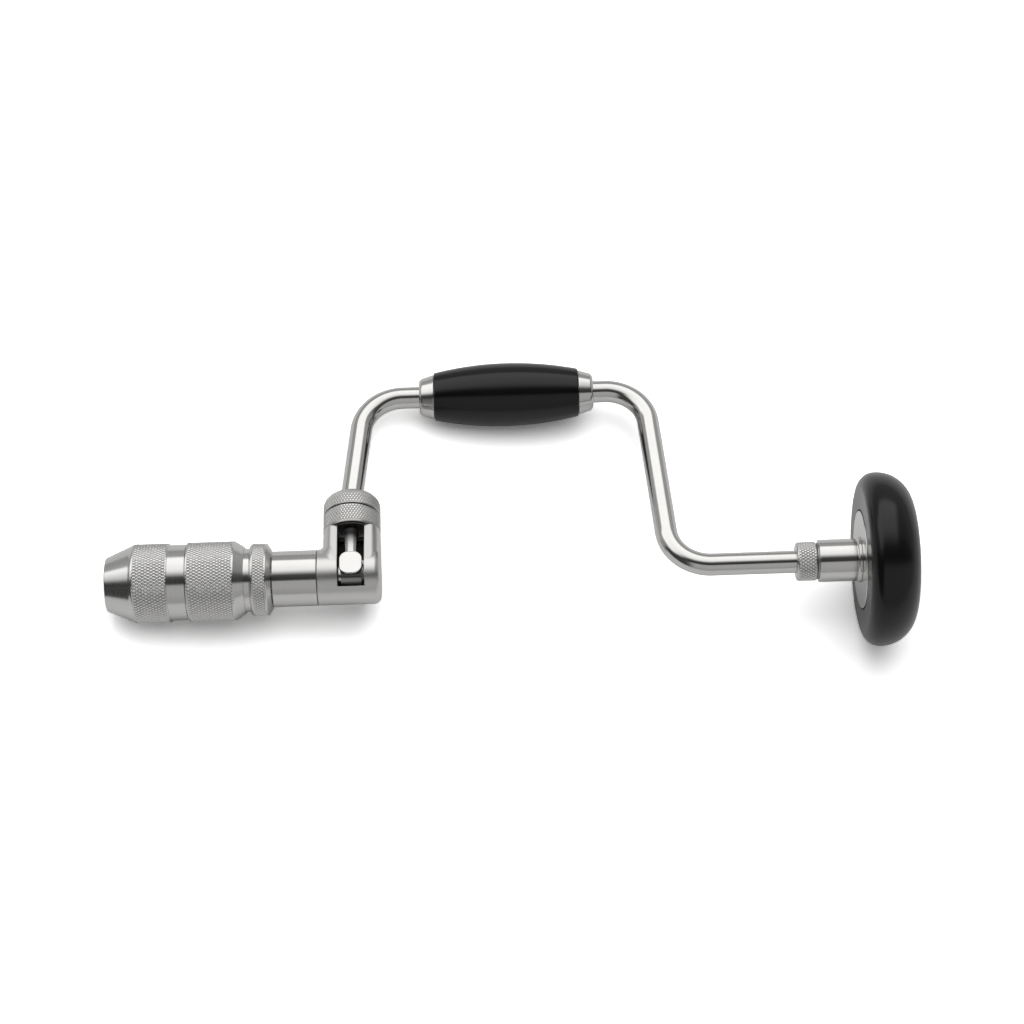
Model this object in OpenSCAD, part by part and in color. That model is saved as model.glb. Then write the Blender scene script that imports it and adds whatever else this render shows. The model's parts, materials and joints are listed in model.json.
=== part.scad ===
// Ratchet brace: a bent crank with a turning grip, a three-jaw chuck behind a
// reversible ratchet, and a turning head. It lies on a table, on the chuck's front
// knurl, the grip and the rim of the head. The origin is the mouth of the bit socket.

/* [Crank] */
// Diameter of the circle that the grip sweeps
sweep_d = 200; // [180:5:250]
// Diameter of the bent rod
rod_d = 10.3; // [9.5:0.1:11]
// Radius of the rod's bends at its centre line
bend_r = 20; // [16:0.5:28]
// How far the chuck-side arm leans along the main axis
near_lean = 6.3; // [3:0.1:12]
// How far the head-side arm leans along the main axis
far_lean = 7.2; // [3:0.1:12]
// Straight bare rod between the chuck-side bend and the grip's ferrule
near_straight = 7.9; // [4:0.1:20]
// Straight bare rod between the grip's ferrule and the head-side bend
far_straight = 5.3; // [3:0.1:20]
// Straight rod between the last bend and the head nut
tail_straight = 38.1; // [30:0.1:60]
// Height above the cam ring where the chuck-side arm starts to lean
knee_rise = 2.5; // [2:0.1:6]
// Radius of that slight bend
knee_r = 60; // [50:1:90]

/* [Grip] */
// Length of the grip without its ferrules
grip_len = 69; // [60:0.5:80]
// Diameter at the middle of the grip
grip_mid_d = 30.2; // [28:0.1:33]
// Diameter at the ends of the grip
grip_end_d = 22.7; // [21.8:0.1:24]
// Length of each ferrule
ferrule_len = 7; // [5:0.1:10]
// Ferrule diameter beside the grip
ferrule_d = 21.2; // [20:0.1:21.6]
// Ferrule diameter at its outer end
ferrule_tip_d = 17; // [16:0.1:18.5]
// Length of each bush inside the grip
grip_bush_len = 12; // [8:0.5:16]
// Wall of the grip's bushes
grip_bush_wall = 1.8; // [1.2:0.1:2.4]

/* [Chuck] */
// Diameter over the knurls of the chuck's sleeves
chuck_d = 36.1; // [35.5:0.1:38]
// Diameter of the nose at its front
nose_d = 24.4; // [23.5:0.1:27]
// Length of the nose cone
nose_len = 12.7; // [11:0.1:15]
// Length of the front knurl
front_knurl_len = 16.3; // [14:0.1:19]
// Diameter of the smooth band between the knurls
band_d = 34.5; // [34.2:0.1:35]
// Length of the smooth band
band_len = 8.3; // [7:0.1:10]
// Length of the rear knurl
rear_knurl_len = 21.6; // [20:0.1:25]
// Length of the rear cone
rear_cone_len = 4.4; // [3:0.1:6]
// Diameter at the end of the rear cone
rear_cone_d = 30.2; // [30:0.1:32]
// Diameter of the chuck's neck
neck_d = 29; // [28:0.1:29.2]
// Visible length of the neck
neck_len = 2.5; // [1.5:0.1:5]
// Wall of the sleeves at the smooth band
sleeve_wall = 1.35; // [1.1:0.05:1.5]
// Rim of the sleeve round the nose's opening
nose_rim = 2.6; // [2.2:0.1:3]
// Diameter of the bit socket
bit_d = 10.4; // [9.6:0.1:10.8]
// Depth of the bit socket
bit_depth = 40; // [39:0.5:43]

/* [Jaws] */
// Diameter of a jaw
jaw_d = 5; // [4.6:0.1:5.2]
// Length of a jaw
jaw_len = 26; // [24:0.5:27]
// Angle between a jaw and the main axis
jaw_angle = 14; // [13:0.5:15]
// Travel of a jaw along its own bore
jaw_travel = 17.5; // [14:0.5:18]
// Station of the jaws' front when they are open
jaw_x = 22; // [21:0.5:23]
// Distance of an open jaw's axis outside the bit socket, at its front
jaw_out = 1; // [0.8:0.05:1.2]
// Length of the jaw nut
nut_len = 7; // [6:0.1:8]
// Distance of the jaw nut behind the jaws' open front
nut_back = 1; // [0.5:0.1:2]
// Diameter of the balls behind the jaw nut
nut_ball_d = 2.4; // [2:0.1:2.6]

/* [Hold ring] */
// Diameter of the knurled ring behind the chuck
hold_d = 33; // [31:0.1:36]
// Length of the ring
hold_len = 9.7; // [8:0.1:12]
// Chamfer of the ring's front edge
hold_front_bevel = 1; // [0.5:0.1:1.5]
// Length of the ring's rear cone
hold_rear_len = 2; // [1:0.1:3]
// Diameter at the end of the ring's rear cone
hold_rear_d = 27.2; // [26:0.1:29]
// Diameter of the hub under the ring
hub_d = 20; // [18:0.1:22]

/* [Barrel and spindle] */
// Diameter of the barrel
barrel_d = 25.5; // [25:0.1:27]
// Length of the barrel
barrel_len = 20.3; // [19:0.1:25]
// Diameter of the spindle's stud in the chuck
stud_d = 12.8; // [12.2:0.1:13.5]
// Diameter of the spindle's thrust collar
thrust_d = 19.8; // [19:0.1:20.2]
// Thickness of the thrust collar
thrust_len = 3; // [2:0.1:4]
// Diameter of the spindle's journal
journal_d = 12; // [11.4:0.1:12.6]
// Diameter of the spindle under the ratchet wheel
seat_d = 8; // [7.4:0.1:8.4]
// Thickness of a thrust race
race_len = 1.1; // [0.8:0.1:1.4]
// Diameter of the thrust balls
ball_d = 2.8; // [2.4:0.1:3]
// Wall of the spindle's bush
bush_wall = 1.94; // [1.6:0.01:2]
// Diameter of the barrel's spigot in the elbow
spigot_d = 19; // [18.6:0.1:19.6]
// Length of the barrel's spigot
spigot_len = 5; // [4:0.1:6]

/* [Elbow] */
// Diameter of the elbow's upright leg
leg_d = 26; // [25.6:0.1:26.4]
// Elbow between the barrel and the leg
elbow_lead = 2.5; // [2:0.1:5]
// Diameter that rounds the leg's corners at its root
leg_root_d = 32.2; // [30:0.1:34]
// Diameter that rounds the leg's corners at the window's open end
leg_top_d = 28; // [27:0.1:30]
// Thickness across the leg's faces at the window's open end
leg_flat = 20; // [16.4:0.1:21]
// Rounding of the elbow's closed end
elbow_round = 3.4; // [2:0.1:5]
// Radius of the elbow's inner fillet
elbow_fillet = 2.1; // [1:0.1:2.1]
// Width of the window
window_w = 12.1; // [11.8:0.1:12.6]
// Distance of the window's closed end from the main axis
window_low = 9.8; // [9.4:0.1:10.2]
// Distance of the window's open end from the main axis
window_high = 22; // [19.5:0.1:25]
// Width of the bevel at the window's closed end
window_bevel = 0.8; // [0.4:0.1:1.2]

/* [Ratchet] */
// Diameter of the ratchet wheel
wheel_d = 17.2; // [16.6:0.1:17.6]
// Diameter at the bottom of the wheel's slots
wheel_root_d = 12; // [11.6:0.1:12.4]
// Number of slots in the wheel
slots = 12; // [8:4:16]
// Width of a slot
slot_w = 1.6; // [1.4:0.05:1.8]
// Side of the square key
key_w = 2; // [1.6:0.1:2.2]
// Thickness of the washer in front of the wheel
wheel_washer_len = 1.2; // [0.8:0.1:1.3]
// Thickness of the circlip behind the wheel
clip_len = 0.8; // [0.6:0.1:1]
// Wall of the bush at the spindle's tail
tail_bush_wall = 1.95; // [1.6:0.05:2.2]
// Length of the tail bush
tail_bush_len = 4.9; // [4:0.1:5.2]

/* [Pawl] */
// Width of the pawl's button across the window
button_w = 10.5; // [9.8:0.1:11]
// Length of the button along the leg
button_len = 11.9; // [11:0.1:12.5]
// Rounding of the button's corners
button_round = 4.2; // [2.5:0.1:4.6]
// Thickness of the button
button_t = 1.8; // [1.4:0.1:2.2]
// Centre of the button above the main axis
button_rise = 0.45; // [0:0.05:0.8]
// Thickness of the pawl's nose
nose_t = 1.2; // [1:0.05:1.3]
// Depth of the nose in a slot, with the ratchet locked
nose_depth = 0.9; // [0.7:0.05:1]
// Travel of the pawl to each side
pawl_travel = 1.4; // [1.2:0.05:1.5]
// Width of the pawl's neck
pawl_neck_w = 5.4; // [4.8:0.1:6.2]
// Thickness of the pawl's web behind the wheel
web_t = 2.6; // [2.4:0.1:3]
// Thickness of the leaf springs in the crosshead
leaf_t = 0.3; // [0.2:0.05:0.4]

/* [Selector] */
// Turn of the cam ring to each side
selector_turn = 40; // [30:1:45]
// Diameter of the shift stem
stem_d = 4.8; // [4.4:0.1:5.2]
// Diameter of the stem's eccentric tip
tip_d = 1.8; // [1.6:0.05:2]
// Diameter of the cross pin
cross_pin_d = 2.2; // [1.8:0.1:2.4]
// Diameter of the leg's neck inside the cam ring
leg_neck_d = 17.2; // [16.8:0.1:18]
// Diameter of the knurled collar and the cam ring
ring_d = 26.6; // [26.5:0.1:28]
// Length of the collar
collar_len = 9.5; // [9:0.1:11]
// Width of the dark groove between the collar and the cam ring
groove_len = 0.7; // [0.5:0.05:1]
// Length of the cam ring's straight part
ring_len = 4.8; // [4:0.1:6]
// Length of the cam ring's rounded shoulder
shoulder_len = 5; // [4.5:0.1:6]
// Diameter at the top of the shoulder
shoulder_d = 17.4; // [16:0.1:18.5]
// Wall of the cam ring's skirt
skirt_wall = 2.6; // [2.2:0.1:2.6]
// Length of the rod in the leg's socket
socket_len = 12; // [11:0.1:12.5]
// Diameter of the pin through the rod
rod_pin_d = 3; // [2.5:0.1:3.5]

/* [Head] */
// Diameter of the knurled head nut
head_nut_d = 17.8; // [16.5:0.1:19]
// Length of the head nut
head_nut_len = 9.6; // [8:0.1:12]
// Diameter of the head's sleeve
head_sleeve_d = 19.4; // [18.8:0.1:21]
// Length of the sleeve up to the plate
head_sleeve_len = 19.3; // [16:0.1:25]
// Diameter of the bead where the sleeve meets the plate
head_bead_d = 20.8; // [20.2:0.1:23]
// Length of that bead
head_bead_len = 1.6; // [1:0.1:2.5]
// Diameter of the plate
plate_d = 44.7; // [40:0.1:50]
// Thickness of the plate
plate_t = 3; // [2.5:0.1:4]
// How far the plate stands out of the pad
plate_proud = 0.4; // [0.2:0.05:1]
// Diameter of the pad
pad_d = 79.6; // [70:0.1:90]
// Thickness of the pad at its middle
pad_len = 25.5; // [24:0.1:32]
// Rounding of the pad's front rim
pad_rim_r = 7.1; // [5:0.1:8]
// Straight edge between the pad's front and back roundings
pad_edge = 0.7; // [0.5:0.1:2]
// Rise of the pad's domed back behind its back rounding
pad_dome = 2; // [1.5:0.1:4]
// Thickness of the thrust washers
head_washer_t = 0.6; // [0.5:0.05:1]
// Wall of the head's bush
head_bush_wall = 2; // [1.5:0.1:2.4]
// Diameter of the washer at the rod's end
end_washer_d = 17; // [16:0.1:19]
// Width of the end nut across its flats
end_nut_af = 15; // [14:0.1:16]
// Length of the end nut
end_nut_len = 5; // [4:0.1:6]
// Number of studs between the plate and the pad
studs = 3; // [3:1:6]
// Diameter of a stud
stud_pin_d = 4; // [3:0.1:5]
// Radius of the circle that the studs stand on
stud_ring_r = 16; // [15.5:0.1:17]

/* [Fits] */
// Gap round a piece that is pressed or seated in another
fit_gap = 0.02; // [0.01:0.01:0.03]
// Radial gap of a shaft in its bush
run_gap = 0.05; // [0.03:0.01:0.08]
// Gap between pieces that pass each other
pass_gap = 0.3; // [0.2:0.05:0.4]

/* [Hidden] */
$fn = 72;
// Overshoot of a cut past the face that it opens
cut = 1;
steel = "silver";
dark = "dimgray";
bronze = "peru";
black = "#1c1c1e";

throw = sweep_d / 2;
rod_r = rod_d / 2;

// Radii of the chuck
chuck_r = chuck_d / 2;
band_r = band_d / 2;
body_r = band_r - sleeve_wall - pass_gap;
sleeve_r = band_r - sleeve_wall;
mouth_r = nose_d / 2 - nose_rim;
neck_r = neck_d / 2;
hub_r = hub_d / 2;
bit_r = bit_d / 2;
nose_bevel = 0.6;

// Stations along the main axis, from the front of the nose
band_x = nose_len + front_knurl_len;
rear_x = band_x + band_len;
rear_cone_x = rear_x + rear_knurl_len;
neck_x = rear_cone_x + rear_cone_len;
hold_x = neck_x + neck_len;
hub_end_x = hold_x + hold_len;
barrel_gap = 0.4;
barrel_x = hub_end_x + barrel_gap;
elbow_x = barrel_x + barrel_len;
leg_r = leg_d / 2;
leg_x = elbow_x + elbow_lead + leg_r;
leg_root_r = leg_root_d / 2;
leg_top_r = leg_top_d / 2;
// The elbow's closed end stands a little past the leg
elbow_end_x = leg_x + leg_r + 0.3;
// The inner cone of the front sleeve starts behind a short straight mouth
mouth_len = 1.5;
cone_end_x = mouth_len + nose_len;
// Shoulder of the chuck body that the rear sleeve stops against
step_x = rear_cone_x - 9;

// Jaws: each slides in an inclined bore that meets the bit socket
jaw_r = jaw_d / 2;
jaw_axis_r = bit_r + jaw_out;
grip_r = bit_r + run_gap;
jaw_shift_r = jaw_travel * sin(jaw_angle);
jaw_side_gap = 0.15;
jaw_bore_end = 1;
nut_x = jaw_x + nut_back;
nut_end_x = nut_x + nut_len;
nut_ball_r = body_r - 2;
shoulder_x = nut_end_x + nut_ball_d + 2 * run_gap;

// Chuck screw behind the bit socket
screw_head_r = 4.4;
screw_head_len = 3;
screw_r = 2.5;
screw_web = 9;
screw_bite = 8;
stud_x = bit_depth + screw_head_len + screw_web;

// Spindle and thrust bearing
barrel_r = barrel_d / 2;
thrust_x = barrel_x + barrel_gap;
race_x = thrust_x + thrust_len;
balls_x = race_x + race_len + run_gap + ball_d / 2;
rear_race_x = balls_x + ball_d / 2 + run_gap;
counterbore_x = rear_race_x + race_len;
counterbore_r = thrust_d / 2 + pass_gap;
journal_r = journal_d / 2;
bush_in_r = journal_r + run_gap;
bush_out_r = bush_in_r + bush_wall;
race_in_r = journal_r + pass_gap;
ball_ring_r = (race_in_r + thrust_d / 2) / 2;
spigot_r = spigot_d / 2;
spigot_end_x = elbow_x + spigot_len;
line_bevel = 0.4;

// Ratchet wheel in the window
seat_r = seat_d / 2;
window_x = leg_x - window_w / 2;
window_end_x = leg_x + window_w / 2;
seat_x = window_x + pass_gap;
wheel_x = seat_x + wheel_washer_len;
clip_x = window_end_x - 2 * pass_gap - clip_len;
wheel_len = clip_x - wheel_x;
wheel_r = wheel_d / 2;
wheel_root_r = wheel_root_d / 2;
wheel_washer_r = seat_r + 2.4;
clip_r = seat_r + 1.6;
clip_depth = 0.6;
tail_bush_x = window_end_x;
tail_end_x = tail_bush_x + tail_bush_len - pass_gap;
tail_bush_in_r = seat_r + run_gap;
tail_bush_out_r = tail_bush_in_r + tail_bush_wall;

// Pawl: a yoke round the wheel, sliding across the crank plane
yoke_z = wheel_r + pawl_travel + 0.2;
button_z = yoke_z + button_t;
nose_z = wheel_r - nose_depth;
nose_half = wheel_len / 2 - 0.6;
crosshead_w = window_w - 2 * run_gap;
crosshead_half_z = 3.4;
// The web's ends stand in the feet of the two necks
web_half_w = pawl_neck_w / 2 - 0.3;
web_half_z = yoke_z + 0.3;

// Selector: the cam ring turns the stem, and the stem's eccentric tip moves the pawl
stem_r = stem_d / 2;
tip_r = tip_d / 2;
tip_offset = pawl_travel / sin(selector_turn);
tip_gap = 0.12;
leaf_z = tip_r + tip_gap;
leaf_end_z = leaf_z + leaf_t;
tip_in_x = tip_offset * cos(selector_turn) - tip_r - pass_gap;
tip_out_x = tip_offset + tip_r + pass_gap;
relief_z = 0.5;
disc_r = tip_offset + tip_r + 0.2;
disc_t = 1.5;
// The web hangs close under the window's open end, and the disc of the stem runs between them
web_end_y = window_high - disc_t - 3 * pass_gap;
web_y = web_end_y - web_t;
disc_y = web_end_y + pass_gap;
leg_neck_r = leg_neck_d / 2;
spigot_y = window_high + 3;
cross_pin_r = cross_pin_d / 2;
collar_y = window_high + collar_len;
ring_y = collar_y + groove_len;
ring_round_y = ring_y + ring_len;
ring_end_y = ring_round_y + shoulder_len;
lid_t = 0.8;
neck_end_y = ring_end_y - lid_t - 0.2;
socket_y = neck_end_y - socket_len;
cross_pin_y = (spigot_y + socket_y) / 2;
stem_end_y = socket_y - pass_gap;
ring_r = ring_d / 2;
ring_bore_r = leg_neck_r + 0.1;
skirt_r = ring_bore_r + skirt_wall;
collar_bore_r = skirt_r + 0.15;
collar_seat_r = collar_bore_r - run_gap;
skirt_y = spigot_y + pass_gap;
rod_pin_y = socket_y + socket_len * 0.75;
groove_depth = 0.6;

// Crank: corners of the rod's centre line and the length that each bend takes off
knee_y = ring_end_y + knee_rise;
near_turn = atan2(throw - knee_y, near_lean);
far_turn = atan2(throw, far_lean);
near_cut = bend_r * tan(near_turn / 2);
far_cut = bend_r * tan(far_turn / 2);
near_x = leg_x + near_lean;
ferrule_x = near_x + near_cut + near_straight;
grip_x = ferrule_x + ferrule_len;
grip_end_x = grip_x + grip_len;
ferrule_end_x = grip_end_x + ferrule_len;
far_x = ferrule_end_x + far_straight + far_cut;
foot_x = far_x + far_lean;

// Each straight run laps its bends a little, and the bends are a hair thinner
bend_lap = 0.5;
bend_thin = 0.05;

// Grip: a barrel whose side is one arc
grip_mid_r = grip_mid_d / 2;
grip_end_r = grip_end_d / 2;
grip_mid_x = grip_x + grip_len / 2;
grip_sag = grip_mid_r - grip_end_r;
grip_arc_r = (pow(grip_len / 2, 2) + pow(grip_sag, 2)) / (2 * grip_sag);
grip_arc_half = asin(grip_len / 2 / grip_arc_r);
grip_gap = 0.15;
ferrule_round = 1.2;
grip_bush_in_r = rod_r + run_gap;
grip_bush_out_r = grip_bush_in_r + grip_bush_wall;

// Head
nut_start_x = foot_x + far_cut + tail_straight;
head_washer_x = nut_start_x + head_nut_len;
sleeve_x = head_washer_x + head_washer_t + run_gap;
plate_x = sleeve_x + head_sleeve_len;
plate_end_x = plate_x + plate_t;
pad_x = plate_x + plate_proud;
pad_end_x = pad_x + pad_len;
pad_r = pad_d / 2;
plate_r = plate_d / 2;
head_bush_in_r = rod_r + run_gap;
head_bush_out_r = head_bush_in_r + head_bush_wall;
head_sleeve_r = head_sleeve_d / 2;
head_spigot_r = (head_bush_out_r + head_sleeve_r) / 2;
end_washer_x = plate_end_x + run_gap;
end_washer_t = 2 * head_washer_t;
end_nut_x = end_washer_x + end_washer_t;
rod_end_x = end_nut_x + end_nut_len + 1;
cavity_r = end_washer_d / 2 + 2;
cavity_x = rod_end_x + 1.5;
nut_round = 1.2;
stud_bite = 6;
// The pad's back rounding runs into one cap arc that is centred on the main axis
rim_x = pad_x + pad_rim_r;
rim_centre_r = pad_r - pad_rim_r;
back_x = rim_x + pad_edge;
back_r = pad_end_x - pad_dome - back_x;
back_centre_r = pad_r - back_r;
cap_r = (pow(back_r + pad_dome, 2) + pow(back_centre_r, 2) - pow(back_r, 2)) / (2 * pad_dome);
cap_x = pad_end_x - cap_r;
cap_turn = atan2(back_centre_r, back_x - cap_x);

// How the brace lies: lift raises the head's end, lean lowers the grip
chuck_low_x = nose_len;
rim_drop = rim_centre_r - chuck_r;
rim_run = rim_x - chuck_low_x;
lift = atan2(rim_drop, rim_run) + asin(pad_rim_r / norm([rim_run, rim_drop]));
grip_rise = (grip_mid_x - chuck_low_x) * sin(lift) + (chuck_r - grip_mid_r) * cos(lift);
lean = asin((grip_rise - grip_arc_r * (1 - cos(lift))) / (throw * cos(lift)));

// Points of an arc round a centre, from angle a to angle b
function arc(centre, r, a, b, steps) =
    [for (i = [0 : steps]) centre + r * [cos(a + (b - a) * i / steps), sin(a + (b - a) * i / steps)]];

// Radius of a jaw's axis at a station
function jaw_line(x) = jaw_axis_r + (x - jaw_x) * tan(jaw_angle);

// Radius of the jaws' outer side at a station
function jaw_outside(x) = jaw_line(x) + jaw_r / cos(jaw_angle);

// Puts the brace down on the table
module lay() rotate([-lean, -lift, 0]) children();

// A turned piece about the main axis; its points are [radius, station]
module turned(points) rotate([0, 90, 0]) rotate_extrude() polygon(points);

// A round bar about the main axis
module bar(r, from, to) translate([from, 0, 0]) rotate([0, 90, 0]) cylinder(r = r, h = to - from);

// A tube about the main axis
module tube(r_out, r_in, from, to) {
    difference() {
        bar(r_out, from, to);
        bar(r_in, from - cut, to + cut);
    }
}

// A round bar about the leg's axis
module post(r, from, to) {
    translate([leg_x, from, 0]) rotate([-90, 0, 0]) cylinder(r = r, h = to - from);
}

// A turned piece about the leg's axis; its points are [radius, height]
module leg_turned(points) translate([leg_x, 0, 0]) rotate([-90, 0, 0]) rotate_extrude() polygon(points);

// A box by its lowest and highest corners
module box(low, high) translate(low) cube(high - low);

// A ring of balls about the main axis
module ball_ring(ring_r, d, x) {
    count = floor(2 * PI * ring_r / (1.25 * d));
    for (i = [0 : count - 1])
        translate([x, 0, 0]) rotate([360 * i / count, 0, 0]) translate([0, 0, ring_r]) sphere(d = d);
}

// A bar along a jaw's bore, measured from the jaw's front when open
module jaw_bar(r, from, to) {
    translate([jaw_x, 0, jaw_axis_r]) rotate([0, 90 - jaw_angle, 0]) translate([0, 0, from])
        cylinder(r = r, h = to - from);
}

// Jaw that leaves the socket free when open, and meets its neighbours when closed
module jaw(turn) {
    high = jaw_outside(jaw_x + jaw_len) + cut;
    low_w = (grip_r - jaw_shift_r) * tan(60) - jaw_side_gap / cos(60);
    high_w = (high - jaw_shift_r) * tan(60) - jaw_side_gap / cos(60);
    color(steel) lay() rotate([turn, 0, 0]) intersection() {
        jaw_bar(jaw_r, 0, jaw_len);
        rotate([90, 0, 90]) linear_extrude(jaw_x + 2 * jaw_len)
            polygon([[-low_w, grip_r], [low_w, grip_r], [high_w, high], [-high_w, high]]);
    }
}

module jaw_1() jaw(0);
module jaw_2() jaw(120);
module jaw_3() jaw(240);

// Nose cone, front knurl and smooth band, in one sleeve that turns the jaw nut
module front_sleeve() {
    color(steel) lay() turned([
        [mouth_r, 0], [nose_d / 2, 0], [chuck_r - nose_bevel, nose_len - nose_bevel],
        [chuck_r, nose_len], [chuck_r, band_x], [band_r, band_x], [band_r, rear_x - pass_gap],
        [sleeve_r, rear_x - pass_gap], [sleeve_r, cone_end_x], [mouth_r, mouth_len]
    ]);
}

// Rear knurl and rear cone, fixed on the chuck body
module rear_sleeve() {
    color(steel) lay() turned([
        [body_r + fit_gap, rear_x], [chuck_r, rear_x], [chuck_r, rear_cone_x],
        [rear_cone_d / 2, neck_x], [neck_r + fit_gap, neck_x], [neck_r + fit_gap, step_x],
        [body_r + fit_gap, step_x]
    ]);
}

module chuck_body() {
    color(steel) lay() difference() {
        turned([
            [0, 0], [mouth_r - pass_gap, 0], [mouth_r - pass_gap, mouth_len],
            [body_r, cone_end_x], [body_r, step_x], [neck_r, step_x], [neck_r, hold_x],
            [hub_r, hold_x], [hub_r, hub_end_x], [0, hub_end_x]
        ]);
        bar(bit_r, -cut, bit_depth);
        bar(screw_head_r + pass_gap, bit_depth - cut, bit_depth + screw_head_len);
        bar(screw_r + pass_gap, bit_depth, stud_x + cut);
        bar(stud_d / 2 + fit_gap, stud_x, hub_end_x + cut);
        // Groove for the jaw nut and its balls
        turned([
            [jaw_outside(nut_x), nut_x - run_gap], [body_r + cut, nut_x - run_gap],
            [body_r + cut, shoulder_x], [nut_ball_r - nut_ball_d / 2 - run_gap, shoulder_x],
            [nut_ball_r - nut_ball_d / 2 - run_gap, nut_end_x], [jaw_outside(nut_end_x), nut_end_x]
        ]);
        for (turn = [0, 120, 240])
            rotate([turn, 0, 0]) jaw_bar(jaw_r + run_gap, -2 * jaw_x, jaw_len + jaw_bore_end);
    }
}

// Split nut: two halves whose cone drives the jaws, pressed in the front sleeve
module jaw_nut() {
    half_gap = 0.1;
    color(dark) lay() difference() {
        turned([
            [jaw_outside(nut_x) + pass_gap, nut_x], [sleeve_r - fit_gap, nut_x],
            [sleeve_r - fit_gap, nut_end_x], [jaw_outside(nut_end_x) + pass_gap, nut_end_x]
        ]);
        box([nut_x - cut, -half_gap, -chuck_r], [nut_end_x + cut, half_gap, chuck_r]);
    }
}

module nut_balls() {
    color(steel) lay() ball_ring(nut_ball_r, nut_ball_d, nut_end_x + run_gap + nut_ball_d / 2);
}

module chuck_screw() {
    socket_af = 4;
    color(dark) lay() difference() {
        union() {
            bar(screw_head_r, bit_depth, bit_depth + screw_head_len);
            bar(screw_r, bit_depth, stud_x + screw_bite);
        }
        bar(socket_af / sqrt(3), bit_depth - cut, bit_depth + screw_head_len * 0.7, $fn = 6);
    }
}

module hold_ring() {
    hold_r = hold_d / 2;
    color(steel) lay() turned([
        [hub_r + fit_gap, hold_x], [hold_r - hold_front_bevel, hold_x],
        [hold_r, hold_x + hold_front_bevel], [hold_r, hub_end_x - hold_rear_len],
        [hold_rear_d / 2, hub_end_x], [hub_r + fit_gap, hub_end_x]
    ]);
}

module spindle() {
    color(steel) lay() difference() {
        turned([
            [0, stud_x], [stud_d / 2, stud_x], [stud_d / 2, thrust_x], [thrust_d / 2, thrust_x],
            [thrust_d / 2, race_x], [journal_r, race_x], [journal_r, seat_x], [seat_r, seat_x],
            [seat_r, tail_end_x], [0, tail_end_x]
        ]);
        bar(screw_r + fit_gap, stud_x - cut, stud_x + screw_bite + cut);
        tube(seat_r + cut, seat_r - clip_depth, clip_x - run_gap, clip_x + clip_len + run_gap);
        key_block(fit_gap);
    }
}

// Key between the spindle and the wheel, with a gap all round
module key_block(gap) {
    half = key_w / 2 + gap;
    box([wheel_x + cut - gap, -half, seat_r - half], [clip_x - cut + gap, half, seat_r + half]);
}

module front_race() color(steel) lay() tube(thrust_d / 2, race_in_r, race_x, race_x + race_len);

module thrust_balls() color(steel) lay() ball_ring(ball_ring_r, ball_d, balls_x);

module rear_race() color(steel) lay() tube(counterbore_r - fit_gap, race_in_r, rear_race_x, counterbore_x);

module barrel() {
    color(steel) lay() turned([
        [counterbore_r, barrel_x], [barrel_r, barrel_x], [barrel_r, elbow_x - line_bevel],
        [barrel_r - line_bevel, elbow_x], [spigot_r, elbow_x], [spigot_r, spigot_end_x],
        [bush_out_r + fit_gap, spigot_end_x], [bush_out_r + fit_gap, counterbore_x],
        [counterbore_r, counterbore_x]
    ]);
}

module barrel_bush() color(bronze) lay() tube(bush_out_r, bush_in_r, counterbore_x, spigot_end_x);

// Leg whose two faces run up from the barrel's sides, closed end of the barrel, and a neck for the rod
module elbow_block() {
    // The leg's root lies a little under the barrel's surface
    sink = 0.05;
    turned(concat(
        [[0, elbow_x], [barrel_r - line_bevel, elbow_x], [barrel_r, elbow_x + line_bevel]],
        arc([barrel_r - elbow_round, elbow_end_x - elbow_round], elbow_round, 0, 90, 6),
        [[0, elbow_end_x]]
    ));
    intersection() {
        leg_turned([[0, 0], [leg_root_r, 0], [leg_top_r, window_high], [0, window_high]]);
        translate([leg_x - leg_r, 0, 0]) rotate([90, 0, 90]) linear_extrude(leg_d)
            polygon([
                [-cut, sink - barrel_r], [window_high + cut, -leg_flat / 2],
                [window_high + cut, leg_flat / 2], [-cut, barrel_r - sink]
            ]);
    }
    post(collar_seat_r, window_high, spigot_y);
    post(leg_neck_r, window_high, neck_end_y);
    elbow_web();
}

// Fillet between the barrel's side and the leg
module elbow_web() {
    web_half = leg_flat / 5;
    root = 3;
    r = min(elbow_fillet, elbow_lead - line_bevel);
    // The fillet starts a little under both surfaces
    sink = 0.15;
    corner = [leg_x - leg_r + sink, barrel_r - sink];
    translate([0, 0, -web_half]) linear_extrude(2 * web_half)
        polygon(concat(
            arc(corner + [-r, r], r, -90, 0, 6),
            [corner + [root, r], corner + [root, -root], corner + [-r, -root]]
        ));
}

// Room that the cross pin sweeps in the leg's neck
module pin_sweep() {
    reach = leg_neck_r + cut;
    slot_h = cross_pin_d + 2 * pass_gap;
    translate([leg_x, cross_pin_y, 0]) rotate([-90, 0, 0]) linear_extrude(slot_h, center = true) {
        for (side = [0, 180]) rotate(side) {
            polygon([[0, 0], [reach, reach * tan(selector_turn)], [reach, -reach * tan(selector_turn)]]);
            for (end = [-selector_turn, selector_turn])
                rotate(end) translate([0, -slot_h / 2]) square([reach, slot_h]);
        }
    }
}

module elbow() {
    color(steel) lay() difference() {
        elbow_block();
        bar(spigot_r + fit_gap, elbow_x - cut, spigot_end_x + pass_gap);
        bar(journal_r + 2 * pass_gap, elbow_x, window_x + cut);
        window_cut();
        bar(tail_bush_out_r + fit_gap, window_end_x - cut, tail_bush_x + tail_bush_len + fit_gap);
        post(stem_r + run_gap, window_high - cut, socket_y + cut);
        post(rod_r + fit_gap, socket_y, neck_end_y + cut);
        pin_sweep();
        translate([leg_x, rod_pin_y, 0]) cylinder(d = rod_pin_d + 2 * fit_gap, h = leg_d, center = true);
    }
}

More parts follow.
